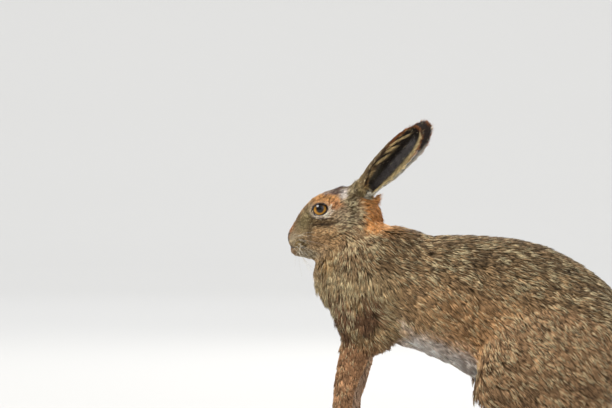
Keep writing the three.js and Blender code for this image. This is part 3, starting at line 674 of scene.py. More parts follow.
def leg_colour(p, n, name):
    """The band colour on a leg or foot, with cream and black shares."""
    z = p[:, 2]
    inward = fade(0.2, 0.8, -n[:, 0] * np.sign(p[:, 0]))
    if name == "thigh":
        base, cream, black = rgb(180, 148, 98), 0.3, 0.24
        layers = [(0.5 * fade(50, 36, z), rgb(200, 162, 108)), (0.8 * inward, CREAM)]
    elif name == "hindfoot":
        base, cream, black = rgb(204, 162, 104), 0.2, 0.07
        layers = [(0.6 * inward, CREAM), (0.5 * fade(6, 1, z), rgb(140, 112, 80))]
    else:
        base, cream, black = rgb(188, 148, 98), 0.14, 0.1
        layers = [
            (0.5 * fade(60, 120, z), rgb(176, 132, 82)),
            (0.75 * inward, rgb(214, 190, 150)),
            (0.4 * fade(20, 6, z), rgb(190, 150, 104)),
        ]
    keep = 1 - 0.7 * inward
    return painted(base, layers), cream * keep, black * keep


def tail_colour(n):
    """Black above and white below."""
    above = fade(-0.15, 0.25, n[:, 2])
    tone = painted(WHITE, [(above, rgb(44, 36, 31))])
    return tone, 0.05 * above, 0.3 * above


def body_colour(p, n, weights):
    """The band colour and the cream and black shares all over the body."""
    marks = {
        "head": head_colour(p),
        "neck": neck_colour(p),
        "torso": torso_colour(p, n),
        "tail": tail_colour(n),
    }
    marks.update({name: leg_colour(p, n, name) for name in ("thigh", "foreleg", "forefoot", "hindfoot")})
    tone = sum(weights[k][:, None] * marks[k][0] for k in marks)
    cream = sum(weights[k] * marks[k][1] for k in marks)
    black = sum(weights[k] * marks[k][2] for k in marks)
    tone = tone * (1 + 0.16 * waves(p, 22, 1) + 0.08 * waves(p, 9, 2))[:, None]
    return np.clip(tone * TINT, 0.005, 0.95), cream, black


# %% [markdown]
# ## Ears
# A hare's ear is a leaf of skin, rolled into a tube at its root. Each place on it is
# told by its share of the length, by how far round the roll it lies, from the front
# margin at 1 to the rear margin at -1, and by the face it is on.

# %% Places on an ear
EAR_ROOT = np.array([13, 80, 280])
EAR_LENGTH = 113
EAR_HALF_WIDTH = 26.5
EAR_LEAN = {"ear_left": 0.6, "ear_right": 0.1}
EAR_SLOPE = {"ear_left": 0.82, "ear_right": 0.765}
EAR_TURN = 0.5
EAR_SUNK = 6
EAR_BOW = -5


def ear_axes(node):
    """Unit vectors along the ear, out of its cup and across it, and its root in mm."""
    side = 1 if node == "ear_left" else -1
    lean, slope = EAR_LEAN[node], EAR_SLOPE[node]
    along = np.array([side * np.sin(lean), np.cos(lean) * np.cos(slope), np.cos(lean) * np.sin(slope)])
    out = unit(np.array([side, 0, 0]) - along * side * along[0])
    turn = side * EAR_TURN
    out = out * np.cos(turn) + np.cross(along, out) * np.sin(turn)
    root = EAR_ROOT * (side, 1, 1) + EAR_SUNK * along
    return side, along, out, np.cross(along, out), root


def ear_section(s):
    """Half the angle of the leaf's roll, and the roll's radius in mm."""
    swell = 1.06 - 0.06 * fade(0, 0.3, s)
    to_tip = np.clip((s - 0.42) / 0.58, 0, 1)
    half_width = EAR_HALF_WIDTH * swell * (1 - to_tip**2.2) ** 0.62
    roll = 2.7 - 0.95 * fade(0.02, 0.42, s) - 0.75 * fade(0.42, 1, s)
    return roll, half_width / roll


def ear_places(node, p, n):
    """Share of the length, place round the roll, and 1 on the outer face."""
    side, along, out, across, root = ear_axes(node)
    rel = p - root
    s = np.clip((rel @ along + EAR_SUNK) / EAR_LENGTH, 0, 0.99)
    roll, radius = ear_section(s)
    axis = EAR_BOW * np.sin(np.pi * s) + radius - ear_section(np.zeros(1))[1][0]
    u, v = rel @ out - axis, rel @ across
    front = -side * np.arctan2(v, -u) / roll
    radial = u[:, None] * out + v[:, None] * across
    outer = fade(-0.3, 0.3, np.einsum("ij,ij->i", unit(radial), n))
    return s, front, outer


def ear_colour(s, front, outer):
    """The band colour, with cream and black shares, at places on an ear."""
    streak = waves(np.column_stack([front * 7 + s * 22, s * 6, outer]), 2.2, 3)
    band = fade(-0.15, 0.25, front) * fade(0.99, 0.9, front) * fade(0.97, 0.8, s)
    inside = painted(rgb(38, 29, 22), [
        (fade(-0.22, -0.42, front) * fade(0.92, 0.75, s) * fade(-0.78, -0.64, front), rgb(116, 111, 110)),
        (0.8 * fade(0.4, 0.2, s) * fade(0.5, -0.2, np.abs(front)), rgb(150, 142, 122)),
        (band * fade(-0.2, 0.2, streak), rgb(228, 200, 144)),
        (band * fade(0.4, 0.1, s) * 0.6, rgb(206, 152, 84)),
        (fade(-0.66, -0.84, front), rgb(228, 204, 152)),
        (0.85 * fade(0.9, 0.96, np.abs(front)) * fade(0.5, 0.8, s), rgb(150, 92, 52)),
    ])
    outside = painted(rgb(150, 126, 88), [
        (0.9 * fade(0.1, -0.35, front) * fade(0.1, 0.3, s), rgb(138, 134, 134)),
        (0.8 * fade(0.5, 0.85, front) * fade(0.15, 0.35, s), rgb(98, 74, 50)),
        (fade(0.64, 0.76, s), rgb(48, 36, 30)),
        (fade(-0.8, -0.94, front) * fade(0.84, 0.7, s), rgb(240, 234, 218)),
        (0.7 * fade(0.16, 0.02, s), rgb(156, 140, 98)),
    ])
    tone = inside + outer[:, None] * (outside - inside)
    rim = np.maximum(fade(0.9, 0.98, np.abs(front)) * fade(0.6, 0.85, s), fade(0.95, 0.975, s))
    tone = painted(tone, [(0.75 * rim, rgb(160, 98, 54))])
    speckle = outer * fade(0.7, 0.5, s)
    return np.clip(tone, 0.004, 0.95), 0.03 + 0.15 * speckle, 0.06 + 0.2 * speckle


# %% [markdown]
# ## One skin object
# The body's skin and the two ears become one object. The ears' roots stand inside the
# head's skin, under the hair, so that no seam shows. It is unwrapped by angle into many
# small charts. That unwrap is the map that the tufts take their place on, too.

# %% Skin object
ear_normals = {n: normals_of(*ear_parts[n]) for n in EARS}
skin_places, skin_quads = joined([(body_skin, body_quads)] + [ear_parts[n] for n in EARS])
skin = mesh_object("skin", skin_places, skin_quads)
skin_tone = np.vstack([
    body_colour(body_mm, body_normals, body_weights)[0],
    *[ear_colour(*ear_places(n, from_nose(ear_parts[n][0]), ear_normals[n]))[0] for n in EARS],
])


def paint(piece, colours):
    """Stores one linear colour a vertex in the attribute that the coat's shader reads."""
    layer = piece.data.attributes.new("coat_colour", "FLOAT_COLOR", "POINT")
    values = np.ones((len(colours), 4), dtype=np.float32)
    values[:, :3] = colours
    layer.data.foreach_set("color", values.ravel())


SKIN_SHADE = 0.55
paint(skin, SKIN_SHADE * skin_tone)


def unwrap(piece):
    """Unwraps a piece by the angles of its faces into a map named OFBake."""
    piece.data.uv_layers.new(name="OFBake")
    bpy.ops.object.select_all(action="DESELECT")
    bpy.context.view_layer.objects.active = piece
    piece.select_set(True)
    bpy.ops.object.mode_set(mode="EDIT")
    bpy.ops.mesh.select_all(action="SELECT")
    bpy.ops.uv.smart_project(angle_limit=1.15, island_margin=0.001)
    bpy.ops.object.mode_set(mode="OBJECT")


unwrap(skin)
skin_uv = np.empty(len(skin.data.loops) * 2)
skin.data.uv_layers["OFBake"].data.foreach_get("uv", skin_uv)
skin_uv = skin_uv.reshape(-1, 4, 2)
print("unwrapped", len(skin_quads), "quads")

# %% [markdown]
# ## Tufts
# One tuft is a small closed blade of three sides: a root, a bend and a tip. It starts
# just under the skin, rises to the outline of the solids and bends along the lie of the
# coat. Tips of neighbours are drawn together a little, as hair clumps in life.


# %% Sowing
def corner_mix(values, s, t):
    """Corner values (n, 4, k) at the share s, t of each quad."""
    return (
        values[:, 0] * (1 - s) * (1 - t)
        + values[:, 1] * s * (1 - t)
        + values[:, 2] * s * t
        + values[:, 3] * (1 - s) * t
    )


def sow(quads, places, density):
    """Random roots, `density` a square mm: numbers of quads, shares in them and places."""
    corners = places[quads]
    a, b, c, d = (corners[:, k] for k in range(4))
    area = 0.5 * np.linalg.norm(np.cross(c - a, d - b), axis=1) / MM**2
    total = np.cumsum(area * density)
    marks = np.arange(rng.uniform(), total[-1], 1.0)
    face = np.searchsorted(total, marks)
    s, t = rng.uniform(size=(2, len(face), 1))
    return face, s, t, corner_mix(corners[face], s, t)


# %% Building tufts
# corners 0 to 2 are at the root, 3 to 5 at the bend, and 6 is the tip
TUFT_CORNERS = np.array([
    (2, 1, 0),
    (0, 1, 4), (0, 4, 3), (1, 2, 5), (1, 5, 4), (2, 0, 3), (2, 3, 5),
    (3, 4, 6), (4, 5, 6), (5, 3, 6),
])
ROW_OF_CORNER = np.array([0, 0, 0, 1, 1, 1, 2])
BURIED = 0.25 * MM
LOWEST = 0.2 * MM
FLATTEST = 0.3
SHORTEST = 0.55
# shares of the tuft's length, rise and width at its bend, and of its width in its height
BEND_AT = 0.55
BEND_RISE = 0.22
BEND_WIDTH = 0.85
RIDGE = 0.3
YAW_SPREAD = 0.16
CLUMP_SIZE = 24
CLUMP_CONTRAST = 0.26
ROOT_SHADE = 0.42
UV_PATCH = 0.003 * np.array([(-0.5, 0), (0.5, 0), (0, 0), (-0.4, 0.55), (0.4, 0.55), (0, 0.55), (0, 1)])


def nearest(centres, places):
    """For each place the number of the nearest centre."""
    tree = kdtree.KDTree(len(centres))
    for number, centre in enumerate(centres):
        tree.insert(centre, number)
    tree.balance()
    return np.array([tree.find(place)[1] for place in places])


def tuft_arrays(root, normal, lie, length, width, rise, clump=0.5):
    """Places (n, 7, 3) of blades that lie along `lie`, and each one's clump; all in metres."""
    lie = unit(lie - normal * np.einsum("ij,ij->i", lie, normal)[:, None])
    across = np.cross(normal, lie)
    yaw = rng.normal(0, YAW_SPREAD, (len(root), 1))
    lie = lie * np.cos(yaw) + across * np.sin(yaw)
    across = np.cross(normal, lie)
    length, width, rise = (v[:, None] for v in (length, width, rise))
    flat = np.sqrt(np.maximum(length**2 - rise**2, (FLATTEST * length) ** 2))
    tip = root + lie * flat + normal * rise
    centres = rng.choice(len(root), max(1, len(root) // CLUMP_SIZE), replace=False)
    group = nearest(root[centres], root)
    pull = clump * rng.uniform(0.4, 1.2, (len(root), 1))
    drawn = tip + pull * (tip[centres[group]] - tip)
    stunted = np.linalg.norm(drawn - root, axis=1, keepdims=True) < SHORTEST * length
    tip = np.where(stunted, tip, drawn)
    bend = root + BEND_AT * (tip - root) + normal * rise * BEND_RISE
    low = root - normal * BURIED
    blade = np.empty((len(root), 7, 3))
    for k, (centre, share) in enumerate(((low, 1.0), (bend, BEND_WIDTH))):
        blade[:, 3 * k] = centre - across * width * share / 2
        blade[:, 3 * k + 1] = centre + across * width * share / 2
        blade[:, 3 * k + 2] = centre + normal * width * share * RIDGE
    blade[:, 6] = tip
    return blade, group


def coat_piece(name, blades, colours, uv):
    """One object of many blades, with three colours each and its map for baking."""
    blades = blades.copy()
    blades[:, :, 2] = np.maximum(blades[:, :, 2], LOWEST)
    faces = (TUFT_CORNERS[None] + 7 * np.arange(len(blades))[:, None, None]).reshape(-1, 3)
    piece = mesh_object(name, blades.reshape(-1, 3), faces)
    paint(piece, colours[:, ROW_OF_CORNER].reshape(-1, 3))
    corner_uv = (uv[:, None] + UV_PATCH[None])[:, TUFT_CORNERS.ravel()]
    layer = piece.data.uv_layers.new(name="OFBake")
    layer.data.foreach_set("uv", np.clip(corner_uv, 0, 1).astype(np.float32).ravel())
    return piece


def tuft_colours(tone, cream, black, group):
    """Root, band and tip colours of each tuft; the tufts of a clump are alike."""
    count = len(tone)
    shade = rng.uniform(1 - CLUMP_CONTRAST, 1 + CLUMP_CONTRAST, group.max() + 1)[group]
    tone = tone * shade[:, None]
    cream = cream * fade(0.8, 1.25, shade) * 1.6
    draw = rng.uniform(size=count)
    tip = tone * rng.uniform(0.85, 1.35, (count, 1))
    is_cream = draw < cream
    is_black = (draw >= cream) & (draw < cream + black)
    tip[is_cream] = CREAM * rng.uniform(0.75, 1.05, (is_cream.sum(), 1))
    tip[is_black] = BLACK * rng.uniform(0.8, 2.0, (is_black.sum(), 1))
    band = tone * rng.uniform(0.7, 1.1, (count, 1))
    band[is_black] = 0.5 * tone[is_black]
    band[is_cream] = 0.6 * band[is_cream] + 0.4 * CREAM * 0.8
    return np.clip(np.stack([ROOT_SHADE * tone, band, tip], axis=1), 0.003, 0.98)


# %% Lie of the coat
def body_lie(p, n, weights):
    """The way the hair lies: back from the nose over the head, then back and down."""
    lie = blended(weights, "lie")
    from_tip = unit(p - NOSE_TIP)
    head = weights["head"][:, None]
    lie = lie + head * (from_tip - np.array(REGIONS["head"]["lie"]))
    chest = (weights["torso"] * fade(112, 70, p[:, 1]))[:, None]
    lie = lie + chest * (np.array([0, 0.15, -1]) - np.array(REGIONS["torso"]["lie"]))
    lie[:, 2] -= 0.45 * weights["torso"] * np.abs(n[:, 0])
    wander = np.stack([waves(p, 34, seed) for seed in (11, 12, 13)], axis=1)
    loose = 0.14 + 0.24 * (weights["neck"] + weights["torso"] * fade(170, 90, p[:, 1]))
    return lie + loose[:, None] * wander


THIN = 1.0
BARE_LID = 1.1

quad_weights = region_weights(from_nose(body_skin[body_quads].mean(axis=1)))
density = blended(quad_weights, "density") * THIN
face, s, t, root = sow(body_quads, body_skin, density)
p = from_nose(root)
n = unit(corner_mix(body_normals[body_quads[face]], s, t))
beside_eye = (np.abs(p[:, 0]) > 9) & (np.abs(p[:, 1] - EYE[1]) < 14)
keep = ~(beside_eye & (eye_distance(p) < BARE_LID))
face, s, t, root, p, n = (v[keep] for v in (face, s, t, root, p, n))
weights = region_weights(p)
print("body tufts", len(root))

# %% Tufts of the body
count = len(root)
share = 1 - weights["head"] * (1 - face_share(p))
length = blended(weights, "length") * share * rng.uniform(0.75, 1.2, count)
width = blended(weights, "width") * (0.55 + 0.45 * share) * rng.uniform(0.75, 1.2, count)
rise = coat_depth(p, weights) * rng.uniform(0.7, 1.12, count)
ragged = 1 + 0.8 * weights["head"] * spot(p, (62, 284), (13, 7))
length, rise = length * ragged, rise * ragged
blades, group = tuft_arrays(root, n, body_lie(p, n, weights), length * MM, width * MM, rise * MM)
tone, cream, black = body_colour(p, n, weights)
colours = tuft_colours(tone, cream, black, group)
uv = corner_mix(skin_uv[face], s, t)
print("tufts of", round(length.min(), 1), "to", round(length.max(), 1), "mm")

# %% Coat pieces
# a tuft has ten triangles, and a piece fewer than 200,000
PIECE_TUFTS = 19500
groups = {
    "head": weights["head"] > 0.5,
    "neck": weights["neck"] > 0.5,
    "legs": weights["foreleg"] + weights["forefoot"] + weights["hindfoot"] > 0.5,
    "tail": weights["tail"] > 0.5,
}
groups["trunk"] = ~(groups["head"] | groups["neck"] | groups["legs"] | groups["tail"])
coat = []
for name, mask in groups.items():
    chosen = np.flatnonzero(mask)
    chosen = chosen[np.argsort(p[chosen, 1], kind="stable")]
    pieces = int(np.ceil(len(chosen) / PIECE_TUFTS))
    for number, part in enumerate(np.array_split(chosen, pieces), 1):
        coat.append(coat_piece(f"coat_{name}_{number}", blades[part], colours[part], uv[part]))
        print(coat[-1].name, len(part), "tufts")

# %% Coat of the ears
EAR_DENSITY = 0.92


def ear_tufts(node, s, front, outer):
    """Lie, length, width and rise of the tufts on an ear, longest on the band inside it."""
    side, along, _, across, _ = ear_axes(node)
    count = len(s)
    edge = fade(0.78, 0.95, np.abs(front))
    band = (1 - outer) * fade(-0.1, 0.3, front) * fade(0.95, 0.8, s)
    length = (3.4 + 2.4 * edge + 3 * fade(0.2, 0.0, s) + 4 * band) * rng.uniform(0.75, 1.25, count)
    rise = (0.45 + 0.45 * edge + 0.5 * band) * rng.uniform(0.6, 1.2, count)
    width = (0.75 + 0.25 * band) * rng.uniform(0.75, 1.2, count)
    rearwards = side * across
    outwards = np.sign(front)[:, None] * -rearwards
    lie = along + 0.35 * edge[:, None] * outwards + 0.7 * band[:, None] * rearwards
    return lie, length * MM, width * MM, rise * MM


face_start = len(body_quads)
for node, (ear_skin, quads) in ear_parts.items():
    face, s, t, root = sow(quads, ear_skin, np.full(len(quads), EAR_DENSITY * THIN))
    p = from_nose(root)
    n = unit(corner_mix(ear_normals[node][quads[face]], s, t))
    spread = ear_places(node, p, n)
    blades, group = tuft_arrays(root, n, *ear_tufts(node, *spread), clump=0.25)
    colours = tuft_colours(*ear_colour(*spread), group)
    coat.append(coat_piece("coat_" + node, blades, colours, corner_mix(skin_uv[face_start + face], s, t)))
    face_start += len(quads)
    print(coat[-1].name, len(root), "tufts")

# %% [markdown]
# ## Finish of the coat
# Hair is neither matt nor shiny. A shader group takes the painted colour, breaks it up
# with fine noise and gives a small bump across the hair, and both the skin and the tufts
# use it with their own strengths.


# %% Coat shader group
def coat_group():
    """A group that varies the painted colour and makes a fine bump."""
    tree, given, result = new_group("hair_detail", "ShaderNodeTree", [
        ("Colour", "INPUT", "Color"),
        ("Scale", "INPUT", "Float"),
        ("Variation", "INPUT", "Float"),
        ("Colour", "OUTPUT", "Color"),
        ("Height", "OUTPUT", "Float"),
    ])
    place = new_node(tree, "ShaderNodeTexCoord")
    noise = new_node(tree, "ShaderNodeTexNoise", [("Detail", 3)])
    span = new_node(tree, "ShaderNodeMath", [(1, 0.5)], operation="SUBTRACT")
    scaled = new_node(tree, "ShaderNodeMath", [(2, 1)], operation="MULTIPLY_ADD")
    shade = new_node(tree, "ShaderNodeVectorMath", operation="SCALE")
    wire(
        tree,
        (place, "Object", noise, "Vector"),
        (given, "Scale", noise, "Scale"),
        (noise, "Fac", span, 0),
        (span, 0, scaled, 0),
        (given, "Variation", scaled, 1),
        (given, "Colour", shade, 0),
        (scaled, 0, shade, "Scale"),
        (shade, "Vector", result, "Colour"),
        (noise, "Fac", result, "Height"),
    )
    return tree


HAIR_DETAIL = coat_group()


def coat_material(name, scale, variation, roughness, bump):
    """A material that shows the painted coat colour."""
    material, tree, shader = new_material(name, Roughness=roughness, Specular_IOR_Level=0.25)
    paint_in = new_node(tree, "ShaderNodeAttribute", attribute_name="coat_colour")
    values = [("Scale", scale), ("Variation", variation)]
    detail = new_node(tree, "ShaderNodeGroup", node_tree=HAIR_DETAIL, inputs=values)
    bumped = new_node(tree, "ShaderNodeBump", [("Strength", bump), ("Distance", 0.6 * MM)])
    wire(
        tree,
        (paint_in, "Color", detail, "Colour"),
        (detail, "Colour", shader, "Base Color"),
        (detail, "Height", bumped, "Height"),
        (bumped, "Normal", shader, "Normal"),
    )
    return material


skin.data.materials.append(coat_material("skin", 900, 0.8, 0.8, 0.6))
hair = coat_material("hair", 1400, 0.7, 0.62, 0.25)
for piece in coat:
    piece.data.materials.append(hair)

# %% [markdown]
# ## Eyes
# The eye is the liveliest spot of the animal: a dark rim, an amber iris with a round
# black pupil, and a wet, clear surface over all of it. A fine ball takes the place of
# each solid eye, and its rings are worked out from the distance to the eye's own axis.


# %% Eyeballs
def eyeball(side):
    """A ball of fine quads round the eye's centre, with its poles front and back."""
    name = "eyeball_" + side
    low, high = (np.array(v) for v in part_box("eye_" + side))
    centre = (low + high) / 2
    bm = bmesh.new()
    bmesh.ops.create_uvsphere(bm, u_segments=64, v_segments=40, radius=EYE_RADIUS * MM)
    bmesh.ops.rotate(bm, verts=bm.verts, matrix=Matrix.Rotation(np.pi / 2, 3, "Y"))
    bmesh.ops.translate(bm, verts=bm.verts, vec=centre)
    mesh = bpy.data.meshes.new(name)
    bm.to_mesh(mesh)
    bm.free()
    mesh.shade_smooth()
    return added(name, mesh), centre


# %% Iris and pupil
PUPIL_SHIFT = np.array([0, 0.3, 0.4]) * MM
# radius in mm round the eye's axis, and the colour there
IRIS_RINGS = [
    (0.0, BLACK * 0.2),
    (3.7, BLACK * 0.2),
    (4.0, rgb(84, 54, 16)),
    (5.0, rgb(160, 110, 30)),
    (6.1, rgb(180, 128, 40)),
    (6.9, rgb(112, 72, 22)),
    (7.6, rgb(26, 18, 12)),
    (12.0, rgb(14, 10, 9)),
]


def eye_material(side, centre):
    """Rings of pupil, iris and rim round the eye's axis, with painted shade of the upper lid over the top of
    the eye.
    """
    material, tree, shader = new_material("eye_" + side, Roughness=0.04, IOR=1.45)
    place = new_node(tree, "ShaderNodeTexCoord")
    middle = [(1, centre + PUPIL_SHIFT)]
    centred = new_node(tree, "ShaderNodeVectorMath", middle, operation="SUBTRACT")
    in_mm = [(1, (0, 1 / MM, 1 / MM))]
    flat = new_node(tree, "ShaderNodeVectorMath", in_mm, operation="MULTIPLY")
    radius = new_node(tree, "ShaderNodeVectorMath", operation="LENGTH")
    last = IRIS_RINGS[-1][0]
    span = new_node(tree, "ShaderNodeMapRange", [("From Max", last)])
    ramp = new_node(tree, "ShaderNodeValToRGB")
    steps = ramp.color_ramp.elements
    for number, (at, colour) in enumerate(IRIS_RINGS):
        step = steps[number] if number < 2 else steps.new(at / last)
        step.position = at / last
        step.color = (*colour, 1)
    fibres = new_node(tree, "ShaderNodeTexNoise", [("Scale", 900)])
    threads = new_node(tree, "ShaderNodeMapRange", [("To Min", 0.7), ("To Max", 1.3)])
    shade = new_node(tree, "ShaderNodeVectorMath", operation="SCALE")
    # painted shade of the upper lid: the eye darkens upwards, from 1 mm below the pupil's centre to 4 mm
    # above it
    heights = new_node(tree, "ShaderNodeSeparateXYZ")
    lid_shade_range = [("From Min", -1), ("From Max", 4), ("To Min", 1), ("To Max", 0.08)]
    shadow = new_node(tree, "ShaderNodeMapRange", lid_shade_range)
    lid_shaded = new_node(tree, "ShaderNodeVectorMath", operation="SCALE")
    wire(
        tree,
        (place, "Object", centred, 0),
        (centred, 0, flat, 0),
        (flat, 0, radius, 0),
        (radius, "Value", span, "Value"),
        (span, "Result", ramp, "Fac"),
        (place, "Object", fibres, "Vector"),
        (fibres, "Fac", threads, "Value"),
        (ramp, "Color", shade, 0),
        (threads, "Result", shade, "Scale"),
        (flat, 0, heights, 0),
        (heights, "Z", shadow, "Value"),
        (shade, "Vector", lid_shaded, 0),
        (shadow, "Result", lid_shaded, "Scale"),
        (lid_shaded, "Vector", shader, "Base Color"),
    )
    return material


eyes = []
for side in ("left", "right"):
    ball, centre = eyeball(side)
    ball.data.materials.append(eye_material(side, centre))
    eyes.append(ball)
print("eyes", [e.name for e in eyes])

# %% [markdown]
# ## Threads: lid rims, whiskers and claws
# Whiskers, the dark rims of the lids, the nostrils and the claws all follow a path with
# a round section that thins out. One Geometry Nodes tree sweeps a circle along every
# path of a piece, and takes the radius from the path's own points.


# %% Sweeping tree
def sweep_tree():
    """A tree that turns each path of a mesh into a closed tube of its own radius."""
    tree, given, result = new_group("sweep_along_paths", "GeometryNodeTree", [
        ("Geometry", "INPUT", "Geometry"),
        ("Sides", "INPUT", "Int"),
        ("Finish", "INPUT", "Material"),
        ("Geometry", "OUTPUT", "Geometry"),
    ])
    curve = new_node(tree, "GeometryNodeMeshToCurve")
    name = [("Name", "thickness")]
    radius = new_node(tree, "GeometryNodeInputNamedAttribute", data_type="FLOAT", inputs=name)
    circle = new_node(tree, "GeometryNodeCurvePrimitiveCircle", [("Radius", 1)])
    sweep = new_node(tree, "GeometryNodeCurveToMesh", [("Fill Caps", True)])
    realize = new_node(tree, "GeometryNodeRealizeInstances")
    finish = new_node(tree, "GeometryNodeSetMaterial")
    wire(
        tree,
        (given, "Geometry", curve, "Mesh"),
        (curve, "Curve", sweep, "Curve"),
        (given, "Sides", circle, "Resolution"),
        (radius, "Attribute", sweep, "Scale"),
        (circle, "Curve", sweep, "Profile Curve"),
        (sweep, "Mesh", realize, "Geometry"),
        (realize, "Geometry", finish, "Geometry"),
        (given, "Finish", finish, "Material"),
        (finish, "Geometry", result, "Geometry"),
    )
    return tree


SWEEP = sweep_tree()


def swept(name, paths, sides, material, closed=False):
    """A mesh of tubes along paths; each path is (places in mm from the nose, radii in mm)."""
    mesh = bpy.data.meshes.new(name + "_paths")
    places, edges, radii = [], [], []
    for points, thickness in paths:
        start = len(places)
        places.extend(to_frame(points))
        radii.extend(np.asarray(thickness) * MM)
        edges.extend((start + i, start + i + 1) for i in range(len(points) - 1))
        if closed:
            edges.append((start + len(points) - 1, start))
    mesh.from_pydata([tuple(v) for v in places], edges, [])
    thickness_layer = mesh.attributes.new("thickness", "FLOAT", "POINT")
    thickness_layer.data.foreach_set("value", np.array(radii, dtype=np.float32))
    source = added(name + "_source", mesh)
    modifier = source.modifiers.new("sweep", "NODES")
    modifier.node_group = SWEEP
    sockets = {item.name: item.identifier for item in SWEEP.interface.items_tree if item.in_out == "INPUT"}
    modifier[sockets["Sides"]] = sides
    modifier[sockets["Finish"]] = material
    evaluated = source.evaluated_get(bpy.context.evaluated_depsgraph_get())
    result = added(name, bpy.data.meshes.new_from_object(evaluated))
    bpy.data.objects.remove(source)
    result.data.shade_smooth()
    print(name, len(result.data.polygons), "faces")
    return result


# %% Horn and wet rim finishes
def speckled_material(name, dark, light, roughness, scale, coat=0.0):
    """Two colours mixed by fine noise, with a matching bump."""
    material, tree, shader = new_material(name, Roughness=roughness, Coat_Weight=coat)
    place = new_node(tree, "ShaderNodeTexCoord")
    noise, mix = two_colours(tree, shader, place, scale, dark, light, detail=4)
    bumped = new_node(tree, "ShaderNodeBump", [("Strength", 0.3), ("Distance", 0.3 * MM)])
    wire(
        tree,
        (noise, "Fac", mix, MIX_FACTOR),
        (noise, "Fac", bumped, "Height"),
        (bumped, "Normal", shader, "Normal"),
    )
    return material


horn = speckled_material("horn", rgb(34, 27, 22), rgb(92, 74, 56), 0.38, 500)
wet_rim = speckled_material("wet_rim", rgb(12, 9, 8), rgb(34, 26, 22), 0.25, 700, coat=0.6)
whisker_hair = speckled_material("whisker", rgb(180, 168, 146), rgb(232, 224, 206), 0.4, 300)


# %% Lid rims
def rim_path(side, points=56):
    """The almond of the lids, laid on the eyeball."""
    sign = 1 if side == "left" else -1
    turn = np.linspace(0, 2 * np.pi, points, endpoint=False)
    along = EYE_HALF_LENGTH * np.cos(turn)
    up = EYE_HALF_HEIGHT * np.sign(np.sin(turn)) * np.abs(np.sin(turn)) ** 1.2
    up = up - 1.2 * fade(-5, -9, along)
    y = along * np.cos(EYE_TILT) - up * np.sin(EYE_TILT)
    z = along * np.sin(EYE_TILT) + up * np.cos(EYE_TILT)
    reach = np.sqrt(np.maximum((EYE_RADIUS + 0.35) ** 2 - y**2 - z**2, 1))
    places = EYE * (sign, 1, 1) + np.column_stack([sign * reach, y, z])
    return places, 0.85 + 0.5 * fade(0.2, 0.9, np.sin(turn))


lid_rims = swept("lid_rims", [rim_path("left"), rim_path("right")], 8, wet_rim, closed=True)

# %% Claws
CLAW_NODES = [
    f"claw_{leg}_{side}_{number}"
    for leg in ("fore", "hind") for side in ("left", "right") for number in range(1, 5)
]
CLAW_POINTS = 9
CLAW_SUNK = 2.5


def claw_path(node):
    """A claw's middle line and radii, from its box: level at the root, dropping at the tip."""
    low, high = (from_nose(np.array(v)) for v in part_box(node))
    x = (low[0] + high[0]) / 2
    t = np.linspace(0, 1, CLAW_POINTS)
    y = high[1] + CLAW_SUNK - (high[1] + CLAW_SUNK - low[1]) * t
    top = high[2] - 1.7
    z = top - (top - low[2] - 0.3) * t**1.6
    size = (high[0] - low[0]) / 2
    return np.column_stack([np.full(CLAW_POINTS, x), y, z]), size * 1.05 * (1 - 0.82 * t**1.5)


claws = swept("claws", [claw_path(n) for n in CLAW_NODES], 10, horn)

# %% Whiskers
WHISKERS_A_SIDE = 22
BROW_WHISKERS = 4
WHISKER_POINTS = 9
WHISKER_RADIUS = 0.14
BROW_RADIUS = 0.11
DROOP = np.array([0, 0.25, -0.28])


def stiff_hair(root, out, length, droop, radius):
    """One hair from its root: places that sink towards the tip, and thinning radii, in mm."""
    t = np.linspace(0, 1, WHISKER_POINTS)[:, None]
    return root + length * (t * out + t**2 * droop), radius * (1 - 0.85 * t[:, 0])


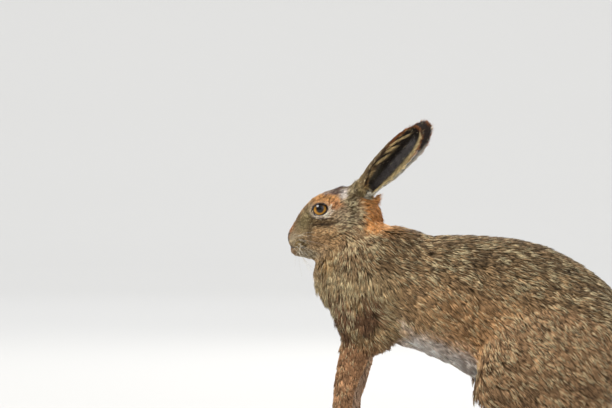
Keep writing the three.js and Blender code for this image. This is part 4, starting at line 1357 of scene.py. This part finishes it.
def whisker_paths():
    """Long stiff hairs that fan back, out and down from the whisker pads, and a few at the brow."""
    paths = []
    draw = np.random.default_rng(7)
    for sign in (1, -1):
        for number in range(WHISKERS_A_SIDE):
            row, column = divmod(number, 5)
            root = np.array([sign * (8.5 + 0.8 * column), 7 + 2.6 * column, 233 - 3.0 * row])
            root += draw.normal(0, 0.4, 3)
            length = draw.uniform(26, 56)
            out = unit(np.array([sign * draw.uniform(0.55, 0.9), 0.5 - 0.22 * column, 0.25 - 0.2 * row]))
            droop = DROOP * draw.uniform(0.5, 1.2)
            paths.append(stiff_hair(root, out, length, droop, WHISKER_RADIUS))
        for number in range(BROW_WHISKERS):
            root = np.array([sign * 13, 31 + 3 * number, 276.5]) + draw.normal(0, 0.5, 3)
            out = unit(np.array([sign * 0.6, 0.5, 0.6]) + draw.normal(0, 0.12, 3))
            paths.append(stiff_hair(root, out, draw.uniform(18, 28), DROOP, BROW_RADIUS))
    return paths


whiskers = swept("whiskers", whisker_paths(), 5, whisker_hair)

# %% Nostrils
def nostril_path(sign):
    """A comma-shaped slit beside the nose's tip."""
    t = np.linspace(0, 1, 8)
    x = sign * (1.8 + 3.6 * t)
    y = 0.4 + 3.4 * t**1.5
    z = 234.2 + 3.2 * np.sin(t * 2.0)
    return np.column_stack([x, y, z]), 0.75 * np.sin(np.pi * (0.12 + 0.8 * t))


nostrils = swept("nostrils", [nostril_path(1), nostril_path(-1)], 8, wet_rim)

# %% Lips
PHILTRUM = ((0, 0.4, 232.5), (0, 1.2, 229), (0, 2, 226), (0, 3, 222.8))
LIP = ((0, 3, 222.8), (4, 5, 221.6), (8, 9, 221), (11, 14, 221), (13, 21, 222))


def laid_on_skin(points, lift):
    """Guide points in mm moved to the nearest places of the skin, lifted along its normals."""
    found = nearest(from_nose(body_skin), points)
    return from_nose(body_skin[found]) + lift * body_normals[found]


def lip_path(points, sign):
    """A thin dark line in the groove of the lips."""
    guide = np.array(points) * (sign, 1, 1)
    return laid_on_skin(guide, 0.3), np.linspace(0.6, 0.35, len(guide))


lips = swept("lips", [lip_path(PHILTRUM, 1), lip_path(LIP, 1), lip_path(LIP, -1)], 8, wet_rim)

# %% [markdown]
# ## Hand-over
# Every piece rides on the one body. The skin stands for all the solids of flesh, the
# balls for the eyes and the horn pieces for the claws.

# %% Riding and replacing
for piece in [skin, *coat, *eyes, lid_rims, claws, whiskers, nostrils, lips]:
    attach(piece, "root")
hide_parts(*FLESH, *EARS)
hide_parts("eye_left")
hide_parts("eye_right")
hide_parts(*CLAW_NODES)
